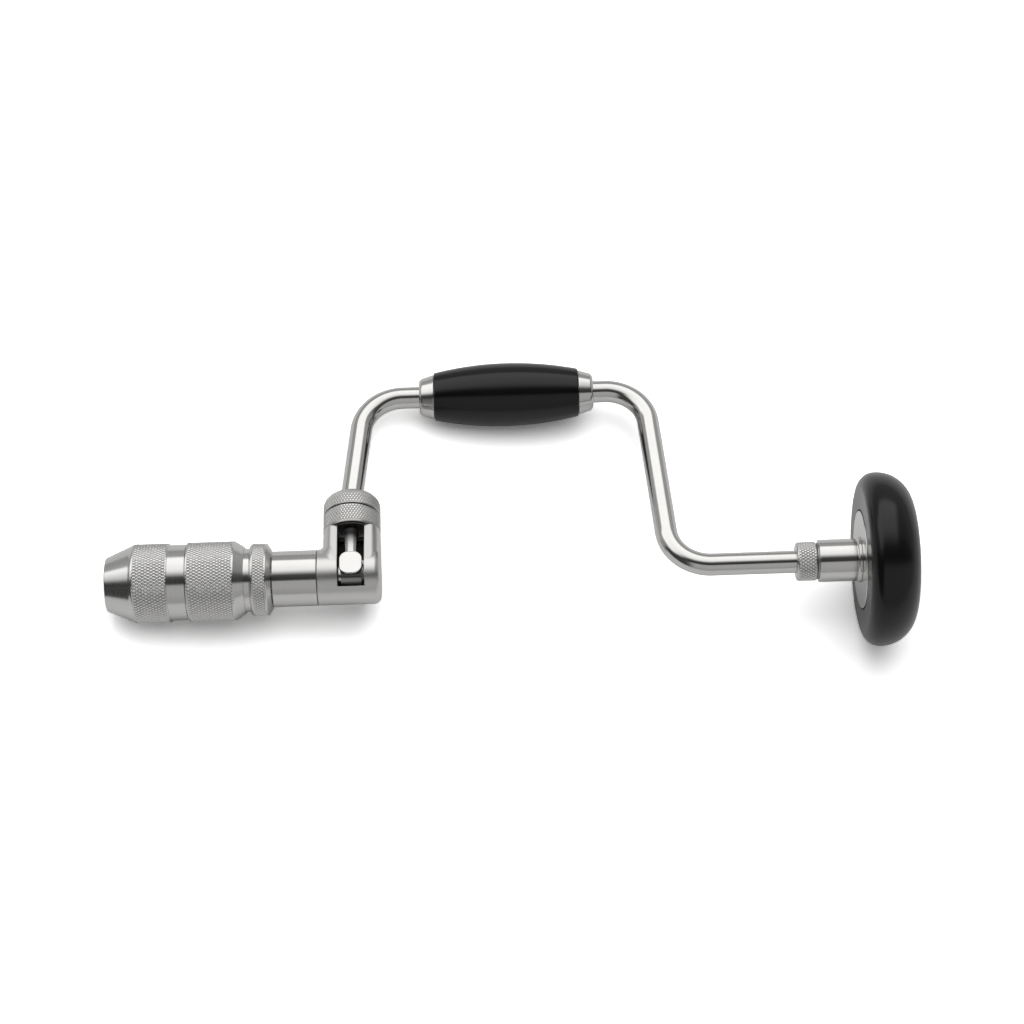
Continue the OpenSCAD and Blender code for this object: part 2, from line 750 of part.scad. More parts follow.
// Window through the leg, with a bevel at its closed end on both sides
module window_cut() {
    edge_z = sqrt(pow(barrel_r, 2) - pow(window_low, 2));
    bevel_y = -window_low - window_bevel;
    open_z = max(leg_r, barrel_r) + cut;
    translate([window_x, 0, 0]) rotate([90, 0, 90]) linear_extrude(window_w)
        polygon([
            [window_high, -open_z], [bevel_y, -open_z], [bevel_y, -edge_z], [-window_low, window_bevel - edge_z],
            [-window_low, edge_z - window_bevel], [bevel_y, edge_z], [bevel_y, open_z], [window_high, open_z]
        ]);
}

module ratchet_wheel() {
    color(dark) lay() difference() {
        tube(wheel_r, seat_r + fit_gap, wheel_x, clip_x);
        for (i = [0 : slots - 1])
            rotate([360 * i / slots, 0, 0])
                box([wheel_x - cut, -slot_w / 2, wheel_root_r], [clip_x + cut, slot_w / 2, wheel_r + cut]);
        key_block(fit_gap);
    }
}

module wheel_key() color(dark) lay() key_block(0);

module wheel_washer() color(steel) lay() tube(wheel_washer_r, seat_r + fit_gap, seat_x, wheel_x);

// Open ring that snaps in the spindle's groove
module wheel_clip() {
    mouth = 1.2 * seat_r;
    color(dark) lay() difference() {
        tube(clip_r, seat_r - clip_depth + fit_gap, clip_x, clip_x + clip_len);
        box([clip_x - cut, 0, -mouth / 2], [clip_x + clip_len + cut, clip_r + cut, mouth / 2]);
    }
}

module tail_bush() {
    color(bronze) lay() tube(tail_bush_out_r, tail_bush_in_r, tail_bush_x, tail_bush_x + tail_bush_len);
}

// Square with round corners, about the leg's axis
module rounded(w, len, r) {
    square([w - 2 * r, len], center = true);
    square([w, len - 2 * r], center = true);
    for (x = [-1, 1], y = [-1, 1])
        translate([x * (w / 2 - r), y * (len / 2 - r)]) circle(r);
}

// Half-round bar from the button up to the web, a little lower than the button
module pawl_neck() {
    rise = button_t - 0.15;
    crown_r = (pow(pawl_neck_w / 2, 2) + pow(rise, 2)) / (2 * rise);
    intersection() {
        translate([0, 0, yoke_z + rise - crown_r]) post(crown_r, 0, web_end_y);
        box([leg_x - pawl_neck_w, -cut, yoke_z], [leg_x + pawl_neck_w, web_end_y + cut, button_z]);
    }
}

// One half of the pawl: button, nose and neck
module pawl_half() {
    translate([leg_x, button_rise, yoke_z]) linear_extrude(button_t)
        rounded(button_w, button_len, button_round);
    box([leg_x - nose_half, -nose_t / 2, nose_z], [leg_x + nose_half, nose_t / 2, yoke_z + button_t / 2]);
    pawl_neck();
}

module shuttle_pawl() {
    color(steel) lay() difference() {
        union() {
            pawl_half();
            mirror([0, 0, 1]) pawl_half();
            box([leg_x - web_half_w, web_y, -web_half_z], [leg_x + web_half_w, web_end_y, web_half_z]);
            box([leg_x - crosshead_w / 2, web_y, -crosshead_half_z],
                [leg_x + crosshead_w / 2, web_end_y, crosshead_half_z]);
        }
        // Slot for the stem's tip and the leaf springs, with room for the leaves to bow
        box([leg_x + tip_in_x - leaf_t, web_y - cut, -leaf_end_z - fit_gap],
            [leg_x + tip_out_x + leaf_t, web_end_y + cut, leaf_end_z + fit_gap]);
        box([leg_x + tip_in_x + leaf_t, web_y - cut, -leaf_end_z - relief_z],
            [leg_x + tip_out_x - leaf_t, web_end_y + cut, leaf_end_z + relief_z]);
    }
}

// Two leaves that carry the stem's tip and let the pawl ride over the slots
module pawl_springs() {
    color(dark) lay() for (side = [0, 1])
        mirror([0, 0, side])
            box([leg_x + tip_in_x - leaf_t + fit_gap, web_y + fit_gap, leaf_z],
                [leg_x + tip_out_x + leaf_t - fit_gap, web_end_y - fit_gap, leaf_end_z]);
}

module shift_stem() {
    color(steel) lay() difference() {
        union() {
            post(stem_r, disc_y, stem_end_y);
            post(disc_r, disc_y, disc_y + disc_t);
            translate([tip_offset, 0, 0]) post(tip_r, web_y + pass_gap, disc_y + disc_t / 2);
        }
        translate([leg_x, cross_pin_y, 0]) rotate([0, 90, 0])
            cylinder(r = cross_pin_r + fit_gap, h = leg_d, center = true);
    }
}

module cross_pin() {
    color(dark) lay() translate([leg_x, cross_pin_y, 0]) rotate([0, 90, 0])
        cylinder(r = cross_pin_r, h = 2 * skirt_r - 2 * pass_gap, center = true);
}

// Domed knurled ring with a skirt that reaches down inside the collar
module cam_ring() {
    dome_r = (pow(ring_r - shoulder_d / 2, 2) + pow(shoulder_len, 2)) / (2 * (ring_r - shoulder_d / 2));
    dome_turn = asin(shoulder_len / dome_r);
    color(steel) lay() difference() {
        leg_turned(concat(
            [[ring_bore_r, skirt_y], [skirt_r, skirt_y], [skirt_r, ring_y], [ring_r, ring_y]],
            arc([ring_r - dome_r, ring_round_y], dome_r, 0, dome_turn, 8),
            [[rod_r + pass_gap, ring_end_y], [rod_r + pass_gap, ring_end_y - lid_t],
             [ring_bore_r, ring_end_y - lid_t]]
        ));
        translate([leg_x, cross_pin_y, 0]) rotate([0, 90, 0])
            cylinder(r = cross_pin_r + fit_gap, h = leg_d, center = true);
    }
}

module groove_washer() {
    color(dark) lay() difference() {
        post(ring_r - groove_depth, collar_y, ring_y - run_gap);
        post(collar_bore_r, collar_y - cut, ring_y + cut);
    }
}

module leg_collar() {
    color(steel) lay() difference() {
        post(ring_r, window_high, collar_y);
        post(collar_bore_r, window_high - cut, collar_y + cut);
    }
}

// Straight stretch of rod between two points of the crank plane, lapping a bend at each end
module rod_run(from, to) {
    along = to - from;
    translate([from[0], from[1], 0]) rotate([0, 0, atan2(along[1], along[0])])
        bar(rod_r, -bend_lap, norm(along) + bend_lap);
}

// Bend of the rod round a centre, from angle a through a turn, drawn a hair thinner
module rod_bend(centre, r, a, turn) {
    translate([centre[0], centre[1], 0]) rotate([0, 0, a]) rotate_extrude(angle = turn)
        translate([r, 0]) circle(rod_r - bend_thin);
}

module crank_rod() {
    knee_turn = 90 - near_turn;
    knee_cut = knee_r * tan(knee_turn / 2);
    near_dir = [cos(near_turn), sin(near_turn)];
    far_dir = [cos(far_turn), -sin(far_turn)];
    color(steel) lay() difference() {
        union() {
            rod_run([leg_x, socket_y + bend_lap + fit_gap], [leg_x, knee_y - knee_cut]);
            rod_bend([leg_x + knee_r, knee_y - knee_cut], knee_r, 180 - knee_turn, knee_turn);
            rod_run([leg_x, knee_y] + knee_cut * near_dir, [near_x, throw] - near_cut * near_dir);
            rod_bend([near_x + near_cut, throw - bend_r], bend_r, 90, near_turn);
            rod_run([near_x + near_cut, throw], [far_x - far_cut, throw]);
            rod_bend([far_x - far_cut, throw - bend_r], bend_r, 90 - far_turn, far_turn);
            rod_run([far_x, throw] + far_cut * far_dir, [foot_x, 0] - far_cut * far_dir);
            rod_bend([foot_x + far_cut, bend_r], bend_r, 270 - far_turn, far_turn);
            rod_run([foot_x + far_cut, 0], [rod_end_x - bend_lap, 0]);
        }
        translate([leg_x, rod_pin_y, 0]) cylinder(d = rod_pin_d + 2 * fit_gap, h = leg_d, center = true);
    }
}

module rod_pin() {
    color(dark) lay() translate([leg_x, rod_pin_y, 0])
        cylinder(d = rod_pin_d, h = leg_neck_d - 2 * pass_gap, center = true);
}

// Barrel-shaped grip, bored for the rod and for a bush at each end
module grip() {
    bush_end = grip_gap + grip_bush_len;
    color(black) lay() translate([0, throw, 0]) difference() {
        turned(concat(
            [[0, grip_x + grip_gap]],
            [for (p = arc([0, 0], grip_arc_r, -grip_arc_half, grip_arc_half, 16))
                [p[0] - grip_arc_r + grip_mid_r,
                 min(max(grip_mid_x + p[1], grip_x + grip_gap), grip_end_x - grip_gap)]],
            [[0, grip_end_x - grip_gap]]
        ));
        bar(rod_r + 2 * pass_gap, grip_x - cut, grip_end_x + cut);
        bar(grip_bush_out_r + fit_gap, grip_x - cut, grip_x + bush_end);
        bar(grip_bush_out_r + fit_gap, grip_end_x - bush_end, grip_end_x + cut);
    }
}

module grip_bush(from, to) {
    color(bronze) lay() translate([0, throw, 0]) tube(grip_bush_out_r, grip_bush_in_r, from, to);
}

module grip_bush_near() grip_bush(grip_x + grip_gap, grip_x + grip_gap + grip_bush_len);
module grip_bush_far() grip_bush(grip_end_x - grip_gap - grip_bush_len, grip_end_x - grip_gap);

// Cup at one end of the grip, pressed on the rod; dir points away from the grip
module ferrule(face_x, dir) {
    tip_r = ferrule_tip_d / 2;
    color(steel) lay() translate([face_x, throw, 0]) rotate([0, 0, dir > 0 ? 0 : 180])
        turned(concat(
            [[rod_r + fit_gap, 0], [ferrule_d / 2, 0]],
            arc([tip_r - ferrule_round, ferrule_len - ferrule_round], ferrule_round, 10, 90, 5),
            [[rod_r + fit_gap, ferrule_len]]
        ));
}

module ferrule_near() ferrule(grip_x, -1);
module ferrule_far() ferrule(grip_end_x, 1);

module head_nut() {
    nut_r = head_nut_d / 2;
    color(steel) lay() turned(concat(
        [[rod_r + fit_gap, nut_start_x]],
        arc([nut_r - nut_round, nut_start_x + nut_round], nut_round, -90, 0, 5),
        arc([nut_r - nut_round, head_washer_x - nut_round], nut_round, 0, 90, 5),
        [[rod_r + fit_gap, head_washer_x]]
    ));
}

module head_thrust_washer() {
    color(dark) lay() tube(head_nut_d / 2 - nut_round / 2, rod_r + fit_gap, head_washer_x, sleeve_x - run_gap);
}

// Sleeve and bead of the head, with a spigot that is pressed in the plate
module head_sleeve() {
    bead_x = plate_x - head_bead_len;
    color(steel) lay() turned([
        [head_bush_out_r + fit_gap, sleeve_x], [head_sleeve_r - line_bevel, sleeve_x],
        [head_sleeve_r, sleeve_x + line_bevel], [head_sleeve_r, bead_x],
        [head_bead_d / 2, bead_x + line_bevel], [head_bead_d / 2, plate_x],
        [head_spigot_r, plate_x], [head_spigot_r, plate_end_x], [head_bush_out_r + fit_gap, plate_end_x]
    ]);
}

module head_plate() {
    color(steel) lay() difference() {
        turned([
            [head_spigot_r + fit_gap, plate_x], [plate_r - line_bevel, plate_x], [plate_r, plate_x + line_bevel],
            [plate_r, plate_end_x], [head_spigot_r + fit_gap, plate_end_x]
        ]);
        stud_set(stud_pin_d / 2 + fit_gap, plate_end_x - plate_t / 2, plate_end_x + cut);
    }
}

// Studs round the main axis
module stud_set(r, from, to) {
    for (i = [0 : studs - 1])
        rotate([360 * i / studs, 0, 0]) translate([0, 0, stud_ring_r]) bar(r, from, to);
}

module pad_studs() color(dark) lay() stud_set(stud_pin_d / 2, plate_end_x - plate_t / 2, plate_end_x + stud_bite);

module head_bush() color(bronze) lay() tube(head_bush_out_r, head_bush_in_r, sleeve_x, plate_end_x);

module head_end_washer() {
    color(steel) lay() tube(end_washer_d / 2, rod_r + fit_gap, end_washer_x, end_nut_x);
}

module head_end_nut() {
    color(steel) lay() difference() {
        bar(end_nut_af / sqrt(3), end_nut_x, end_nut_x + end_nut_len, $fn = 6);
        bar(rod_r + fit_gap, end_nut_x - cut, end_nut_x + end_nut_len + cut);
    }
}

// Mushroom pad with a seat for the plate and a cavity for the end nut
module head_pad() {
    color(black) lay() difference() {
        turned(concat(
            [[0, pad_x]],
            arc([rim_centre_r, rim_x], pad_rim_r, -90, 0, 8),
            arc([back_centre_r, back_x], back_r, 0, 90 - cap_turn, 9),
            arc([0, cap_x], cap_r, 90 - cap_turn, 90, 8)
        ));
        bar(plate_r + fit_gap, pad_x - cut, plate_end_x + fit_gap);
        bar(cavity_r, pad_x, cavity_x);
        stud_set(stud_pin_d / 2 + fit_gap, plate_end_x - cut, plate_end_x + stud_bite + pass_gap);
    }
}

front_sleeve();
rear_sleeve();
chuck_body();
jaw_nut();
nut_balls();
jaw_1();
jaw_2();
jaw_3();
chuck_screw();
hold_ring();
spindle();
front_race();
thrust_balls();
rear_race();
barrel();
barrel_bush();
elbow();
ratchet_wheel();
wheel_key();
wheel_washer();
wheel_clip();
tail_bush();
shuttle_pawl();
pawl_springs();
shift_stem();
cross_pin();
cam_ring();
groove_washer();
leg_collar();
crank_rod();
rod_pin();
grip();
grip_bush_near();
grip_bush_far();
ferrule_near();
ferrule_far();
head_nut();
head_thrust_washer();
head_sleeve();
head_plate();
head_bush();
head_end_washer();
head_end_nut();
head_pad();
pad_studs();
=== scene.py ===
import json
import bpy
import numpy as np
from mathutils import Matrix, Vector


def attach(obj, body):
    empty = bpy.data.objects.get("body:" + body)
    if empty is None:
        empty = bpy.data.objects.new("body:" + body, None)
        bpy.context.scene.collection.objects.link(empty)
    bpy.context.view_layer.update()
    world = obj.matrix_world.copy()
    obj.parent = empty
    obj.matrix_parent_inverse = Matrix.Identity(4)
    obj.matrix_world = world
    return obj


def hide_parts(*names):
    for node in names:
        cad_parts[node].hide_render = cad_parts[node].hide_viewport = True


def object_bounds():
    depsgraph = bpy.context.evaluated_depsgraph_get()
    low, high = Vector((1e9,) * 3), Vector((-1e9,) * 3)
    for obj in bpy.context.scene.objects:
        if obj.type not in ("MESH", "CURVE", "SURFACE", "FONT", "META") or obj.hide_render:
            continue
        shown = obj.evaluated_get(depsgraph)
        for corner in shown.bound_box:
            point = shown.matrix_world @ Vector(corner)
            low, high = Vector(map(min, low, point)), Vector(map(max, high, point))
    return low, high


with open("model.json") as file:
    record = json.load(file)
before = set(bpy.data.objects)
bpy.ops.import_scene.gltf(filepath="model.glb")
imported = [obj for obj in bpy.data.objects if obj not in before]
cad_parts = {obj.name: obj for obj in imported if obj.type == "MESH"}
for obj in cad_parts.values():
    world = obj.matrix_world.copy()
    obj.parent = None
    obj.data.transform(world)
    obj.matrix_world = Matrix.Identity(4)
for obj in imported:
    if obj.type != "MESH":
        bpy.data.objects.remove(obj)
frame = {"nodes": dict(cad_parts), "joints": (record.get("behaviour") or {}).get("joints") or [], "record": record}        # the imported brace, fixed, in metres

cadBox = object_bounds()     # the solids' own box, which sets the floor's height
mm = 0.001

# The brace's own axes, read off its joints: main runs from nose to head, arm from there to the grip
joints = {joint["name"]: joint for joint in frame["joints"]}
mainAxis = np.array(joints["chuck_spin"]["axis"])
armAxis = np.array(joints["selector_turn"]["axis"])
faceAxis = np.cross(mainAxis, armAxis)
braceAxes = np.stack([mainAxis, armAxis, faceAxis])


def toRow(points):       # millimetres along the brace's axes to metres in the row frame
    return np.asarray(points, float) @ braceAxes * mm


def toBrace(points):     # metres in the row frame to millimetres along the brace's axes
    return np.asarray(points, float) @ braceAxes.T / mm


def span(node):          # lowest and highest corner of a node along the brace's axes, in millimetres
    mesh = frame["nodes"][node].data
    flat = np.empty(len(mesh.vertices) * 3)
    mesh.vertices.foreach_get("co", flat)
    local = toBrace(flat.reshape(-1, 3))
    return local.min(0), local.max(0)


legX = toBrace(joints["selector_turn"]["pos_m"])[0]
gripX, throw = toBrace(joints["grip_spin"]["pos_m"])[:2]


def addMesh(name, points, faces, normals, faceUv=None, marks=None):
    # points in brace millimetres, normals along the brace's axes, faces as one list of quads and triangles
    mesh = bpy.data.meshes.new(name)
    mesh.from_pydata(toRow(points), [], faces)
    mesh.polygons.foreach_set("use_smooth", np.ones(len(mesh.polygons), bool))
    if faceUv is not None:
        mesh.uv_layers.new(name="surface").data.foreach_set("uv", faceUv.ravel())
    for key, values in (marks or {}).items():
        mesh.attributes.new(key, "FLOAT", "POINT").data.foreach_set("value", values)
    mesh.update()
    mesh.normals_split_custom_set_from_vertices(normals @ braceAxes)
    piece = bpy.data.objects.new(name, mesh)
    bpy.context.scene.collection.objects.link(piece)
    return piece


def ringSurface(name, grid, uv, wrapRows, marks=None):
    # grid[row, side] are rings of points; ring joins ring, and a ring of no size becomes one point
    rows, sides = grid.shape[:2]
    index = np.arange(rows * sides).reshape(rows, sides)
    pole = np.ptp(grid, axis=1).max(1) < 1e-6
    index[pole] = index[pole][:, :1]
    last = rows if wrapRows else rows - 1
    near, far = np.arange(last), (np.arange(last) + 1) % rows
    nextSide = (np.arange(sides) + 1) % sides
    corner = np.stack([index[near], index[near][:, nextSide], index[far][:, nextSide], index[far]], -1)
    farUv = np.where(far[:, None, None] == 0, uv[-1:] + (uv[1:2] - uv[:1]), uv[far])
    cornerUv = np.stack([uv[near][:, :-1], uv[near][:, 1:], farUv[:, 1:], farUv[:, :-1]], -2)
    # normals: cross product of the central differences along and round the surface
    alongRows = np.roll(grid, -1, 0) - np.roll(grid, 1, 0)
    if not wrapRows:
        alongRows[0], alongRows[-1] = grid[1] - grid[0], grid[-1] - grid[-2]
    roundRing = np.roll(grid, -1, 1) - np.roll(grid, 1, 1)
    normals = np.cross(roundRing, alongRows)
    whole = ~(pole[near] | pole[far])
    quads, quadUv = corner[whole].reshape(-1, 4), cornerUv[whole].reshape(-1, 4, 2)
    startTri = corner[pole[near]][..., [0, 2, 3]].reshape(-1, 3)
    startUv = cornerUv[pole[near]][..., [0, 2, 3], :].reshape(-1, 3, 2)
    endTri = corner[pole[far]][..., [0, 1, 2]].reshape(-1, 3)
    endUv = cornerUv[pole[far]][..., [0, 1, 2], :].reshape(-1, 3, 2)
    # turn the faces outwards if the enclosed volume comes out negative
    points = grid.reshape(-1, 3)
    flat = points - points.mean(0)
    volume = np.einsum("ij,ij->", np.cross(flat[quads[:, 0]], flat[quads[:, 1]]), flat[quads[:, 2]])
    volume += np.einsum("ij,ij->", np.cross(flat[quads[:, 0]], flat[quads[:, 2]]), flat[quads[:, 3]])
    step = 1 if volume > 0 else -1
    normals *= step
    if pole[0]:
        normals[0] = grid[0].mean(0) - grid[1].mean(0)
    if pole[-1]:
        normals[-1] = grid[-1].mean(0) - grid[-2].mean(0)
    normals /= np.maximum(np.linalg.norm(normals, axis=-1, keepdims=True), 1e-12)
    used, fresh = np.unique(np.concatenate([quads.ravel(), startTri.ravel(), endTri.ravel()]),
                            return_inverse=True)
    sizes = np.cumsum([quads.size, startTri.size])
    quads, startTri, endTri = [part.reshape(-1, width)[:, ::step] for part, width
                               in zip(np.split(fresh.ravel(), sizes), (4, 3, 3))]
    faceUv = np.concatenate([part[:, ::step].reshape(-1, 2) for part in (quadUv, startUv, endUv)])
    faces = quads.tolist() + startTri.tolist() + endTri.tolist()
    marks = {key: values.ravel()[used] for key, values in (marks or {}).items()}
    return addMesh(name, points[used], faces, normals.reshape(-1, 3)[used], faceUv, marks)


def roundOff(corners, steps=6):
    # corners (station, radius, rounding) of a closed outline; each one
    # becomes a curve between two points set back by its rounding
    corners = np.array(corners, float)
    spot, setBack = corners[:, None, :2], corners[:, None, 2:]
    before, after = np.roll(spot, 1, 0) - spot, np.roll(spot, -1, 0) - spot
    start = spot + setBack * before / np.linalg.norm(before, axis=-1, keepdims=True)
    end = spot + setBack * after / np.linalg.norm(after, axis=-1, keepdims=True)
    share = np.linspace(0, 1, steps + 1)[None, :, None]
    outline = ((1 - share) ** 2 * start + 2 * share * (1 - share) * spot + share ** 2 * end).reshape(-1, 2)
    return outline[np.linalg.norm(outline - np.roll(outline, 1, 0), axis=1) > 1e-6]


def refine(outline, first, last, step, inside):
    # cuts the outline's edges between two stations, outside a radius, into parts no longer than step
    after = np.roll(outline, -1, 0)
    middle, edge = (outline + after) / 2, after - outline
    fine = (middle[:, 0] > first) & (middle[:, 0] < last) & (middle[:, 1] > inside)
    parts = np.where(fine, np.ceil(np.linalg.norm(edge, axis=1) / step), 1).astype(int)
    owner = np.repeat(np.arange(len(outline)), parts)
    share = (np.arange(parts.sum()) - np.repeat(np.cumsum(parts) - parts, parts)) / parts[owner]
    return outline[owner] + edge[owner] * share[:, None]


def runOf(outline):      # length along an outline, from its first point
    return np.concatenate([[0], np.cumsum(np.linalg.norm(np.diff(outline, axis=0), axis=1))])


def lathe(name, outline, sides, along="main", origin=(0, 0, 0), cuts=None, closed=True):
    # a turned piece: the outline's (station, radius) goes round the
    # axis, less what the cuts take off along its normal
    turn = np.linspace(0, 2 * np.pi, sides + 1)
    run = runOf(outline)
    tangent = np.roll(outline, -1, 0) - np.roll(outline, 1, 0)
    if not closed:
        tangent[0], tangent[-1] = outline[1] - outline[0], outline[-1] - outline[-2]
    tangent /= np.linalg.norm(tangent, axis=1, keepdims=True)
    depth, marks = np.zeros((len(outline), sides)), None
    if cuts:
        depth, marks = cuts(outline, run[:, None], turn[None, :-1])
    station = outline[:, :1] + tangent[:, 1:] * depth
    radius = outline[:, 1:] - tangent[:, :1] * depth
    across, up = radius * np.cos(turn[:-1]), radius * np.sin(turn[:-1])
    station = np.broadcast_to(station, across.shape)
    spot = [station, across, up] if along == "main" else [up, station, across]
    grid = np.stack(spot, -1) + np.array(origin, float)
    around = turn * np.median(outline[:, 1])
    uv = np.stack(np.broadcast_arrays(around[None, :], run[:, None]), -1)
    return ringSurface(name, grid, uv, closed, marks)


def diamondCuts(look, first, last):
    # crossed slanting grooves: each diamond rises from its nearest
    # groove to a flat crest, a little different in height
    def cuts(outline, run, turn):
        station = outline[:, :1]
        start = np.interp(first, outline[:outline[:, 0].argmax(), 0], run[:outline[:, 0].argmax(), 0])
        count = round(2 * np.pi * look["radius"] / look["pitch"])
        lean = (run - start) / look["lead"]
        left, right = count * turn / (2 * np.pi) + lean, count * turn / (2 * np.pi) - lean
        toGroove = 1 - np.maximum(np.abs(2 * (left % 1) - 1), np.abs(2 * (right % 1) - 1))
        slope = np.clip(look["crest"] * toGroove, 0, 1)
        rise = slope ** 2 * (3 - 2 * slope)
        cell = np.sin(np.floor(left) % count * 12.9898 + np.floor(right) % count * 78.233) * 43758.5453
        rise *= 1 - look["uneven"] * (cell - np.floor(cell))
        rampIn, rampOut = (station - first) / look["fade"], (last - station) / look["fade"]
        fade = np.clip(rampIn, 0, 1) * np.clip(rampOut, 0, 1)
        fade = fade * (outline[:, 1:] > look["radius"] * look["inside"])
        # relief falls to 0 in each groove, where the colour takes painted shade
        marks = {"relief": 1 - fade * (1 - slope), "knurled": np.broadcast_to(fade, slope.shape)}
        return look["depth"] * (1 - rise) * fade, marks
    return cuts


def sweep(name, path, radius, sides):
    # a round rod: a ring of the given radius at each point of a path
    # in the crank plane, closed to a point at both ends
    turn = np.linspace(0, 2 * np.pi, sides + 1)
    tangent = np.gradient(path, axis=0)
    tangent /= np.linalg.norm(tangent, axis=1, keepdims=True)
    face = np.array([0, 0, 1.0])
    side = np.cross(face, tangent)
    ring = np.cos(turn[:-1])[None, :, None] * face + np.sin(turn[:-1])[None, :, None] * side[:, None]
    grid = path[:, None] + radius * ring
    ends = np.broadcast_to(path[[0, -1]][:, None], (2, sides, 3))
    grid = np.concatenate([ends[:1], grid, ends[1:]])
    run = runOf(path)
    uv = np.stack(np.broadcast_arrays(turn * radius, np.concatenate([run[:1], run, run[-1:]])[:, None]), -1)
    return ringSurface(name, grid, uv, False)


def bentPath(corners, bends, step):
    # straight runs between corners, with a circular arc of the given radius at each inner corner
    corners = np.array(corners, float)
    pieces = [corners[:1]]
    for before, corner, after, bend in zip(corners[:-2], corners[1:-1], corners[2:], bends):
        comeIn = (corner - before) / np.linalg.norm(corner - before)
        goOut = (after - corner) / np.linalg.norm(after - corner)
        bendTurn = np.arccos(np.clip(comeIn @ goOut, -1, 1))
        start = corner - comeIn * bend * np.tan(bendTurn / 2)
        inward = goOut - comeIn * (goOut @ comeIn)
        inward /= np.linalg.norm(inward)
        angle = np.linspace(0, bendTurn, max(8, int(bend * bendTurn / step)))[:, None]
        pieces.append(start + bend * (np.sin(angle) * comeIn + (1 - np.cos(angle)) * inward))
    path = np.concatenate(pieces + [corners[-1:]])
    run = runOf(path)
    even = np.unique(np.concatenate([run, np.arange(0, run[-1], 2 * step)]).round(4))
    return np.stack([np.interp(even, run, path[:, k]) for k in range(3)], -1)


def roundJoin(a, b, r):  # two fields joined, with a fillet of radius r where they meet
    return np.maximum(r, np.minimum(a, b)) - np.hypot(np.maximum(r - a, 0), np.maximum(r - b, 0))


def roundMeet(a, b, r):  # what two fields share, with its edge rounded to radius r
    return np.minimum(-r, np.maximum(a, b)) + np.hypot(np.maximum(r + a, 0), np.maximum(r + b, 0))


recessDepth = 1.6        # depth in millimetres at which a recess's painted shade is full


def slopeOf(field, points, reach=0.02):
    # central differences of a field at each point
    offsets = np.eye(3) * reach
    return np.stack([(field(*(points + o).T) - field(*(points - o).T)) / (2 * reach) for o in offsets], -1)


def carved(name, field, low, high, step, skin):
    # surface where a distance field is zero: one point in each grid cell that it crosses, pulled onto it
    # along the slope; its relief is 1 on the skin's own surface and falls to 0 a little below it
    axes = [np.arange(a, b + step, step) for a, b in zip(low, high)]
    inside = field(*np.meshgrid(*axes, indexing="ij")) < 0
    nx, ny, nz = np.array(inside.shape) - 1
    corners = [inside[i:i + nx, j:j + ny, k:k + nz].astype(np.int8)
               for i in (0, 1) for j in (0, 1) for k in (0, 1)]
    mixed = (sum(corners) % 8) > 0
    index = np.full(mixed.shape, -1)
    index[mixed] = np.arange(mixed.sum())
    points = np.stack([axes[k][where] + step / 2 for k, where in enumerate(np.nonzero(mixed))], -1)
    for _ in range(6):
        slope = slopeOf(field, points)
        size = np.maximum(np.einsum("ij,ij->i", slope, slope), 1e-3)
        points = points - np.clip(field(*points.T) / size, -step / 2, step / 2)[:, None] * slope
    normals = slope / np.maximum(np.linalg.norm(slope, axis=1, keepdims=True), 1e-9)
    quads = []
    for axis in range(3):
        order = [axis, (axis + 1) % 3, (axis + 2) % 3]
        turned, cells = inside.transpose(order), index.transpose(order)
        first, second = turned[:-1, 1:-1, 1:-1], turned[1:, 1:-1, 1:-1]
        i, j, k = np.nonzero(first != second)
        four = np.stack([cells[i, j, k], cells[i, j + 1, k], cells[i, j + 1, k + 1], cells[i, j, k + 1]], -1)
        quads.append(np.where(first[i, j, k][:, None], four, four[:, ::-1]))
    marks = {"relief": np.clip(1 + skin(*points.T) / recessDepth, 0, 1)}
    return addMesh(name, points, np.concatenate(quads).tolist(), normals, None, marks)


def dress(piece, material, body, slot, *nodes):
    piece.data.materials.append(material)
    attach(piece, body)
    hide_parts(*nodes)


def addNode(tree, kind, inputs=None, **settings):
    # a node with its settings made; an input is a plain value, or the socket that feeds it
    node = tree.nodes.new(kind)
    for key, value in settings.items():
        setattr(node, key, value)
    for key, value in (inputs or {}).items():
        if isinstance(value, bpy.types.NodeSocket):
            tree.links.new(value, node.inputs[key])
        else:
            node.inputs[key].default_value = value
    return node


def newGroup(name, inputs, outputs):
    # a shader node group; inputs are name: (kind, value), outputs are name: kind
    tree = bpy.data.node_groups.new(name, "ShaderNodeTree")
    for key, (kind, value) in inputs.items():
        socket = tree.interface.new_socket(key, in_out="INPUT", socket_type="NodeSocket" + kind)
        if value is not None:
            socket.default_value = value
    for key, kind in outputs.items():
        tree.interface.new_socket(key, in_out="OUTPUT", socket_type="NodeSocket" + kind)
    return tree, tree.nodes.new("NodeGroupInput").outputs, tree.nodes.new("NodeGroupOutput").inputs


def maths(tree, operation, a, b=0.0, c=0.0):
    return addNode(tree, "ShaderNodeMath", {0: a, 1: b, 2: c}, operation=operation).outputs[0]


# Fine lines left by the lathe: noise stretched round the piece, so it changes only along the outline
turnedLines, given, put = newGroup(
    "turnedLines", {"Vector": ("Vector", None), "Lines": ("Float", 1.0), "Stretch": ("Float", 0.02)},
    {"Height": "Float", "Streak": "Float"})
xyz = addNode(turnedLines, "ShaderNodeSeparateXYZ", {0: given["Vector"]}).outputs
lineSpot = addNode(turnedLines, "ShaderNodeCombineXYZ", {
    0: maths(turnedLines, "MULTIPLY", xyz[0], given["Stretch"]),
    1: maths(turnedLines, "MULTIPLY", xyz[1], given["Lines"])}).outputs[0]
fineLines = addNode(turnedLines, "ShaderNodeTexNoise",
                    {"Vector": lineSpot, "Scale": 4.0, "Detail": 3.0, "Roughness": 0.7})
slowLines = addNode(turnedLines, "ShaderNodeTexNoise", {"Vector": lineSpot, "Scale": 0.9, "Detail": 2.0})
turnedLines.links.new(fineLines.outputs["Fac"], put["Height"])
turnedLines.links.new(slowLines.outputs["Fac"], put["Streak"])

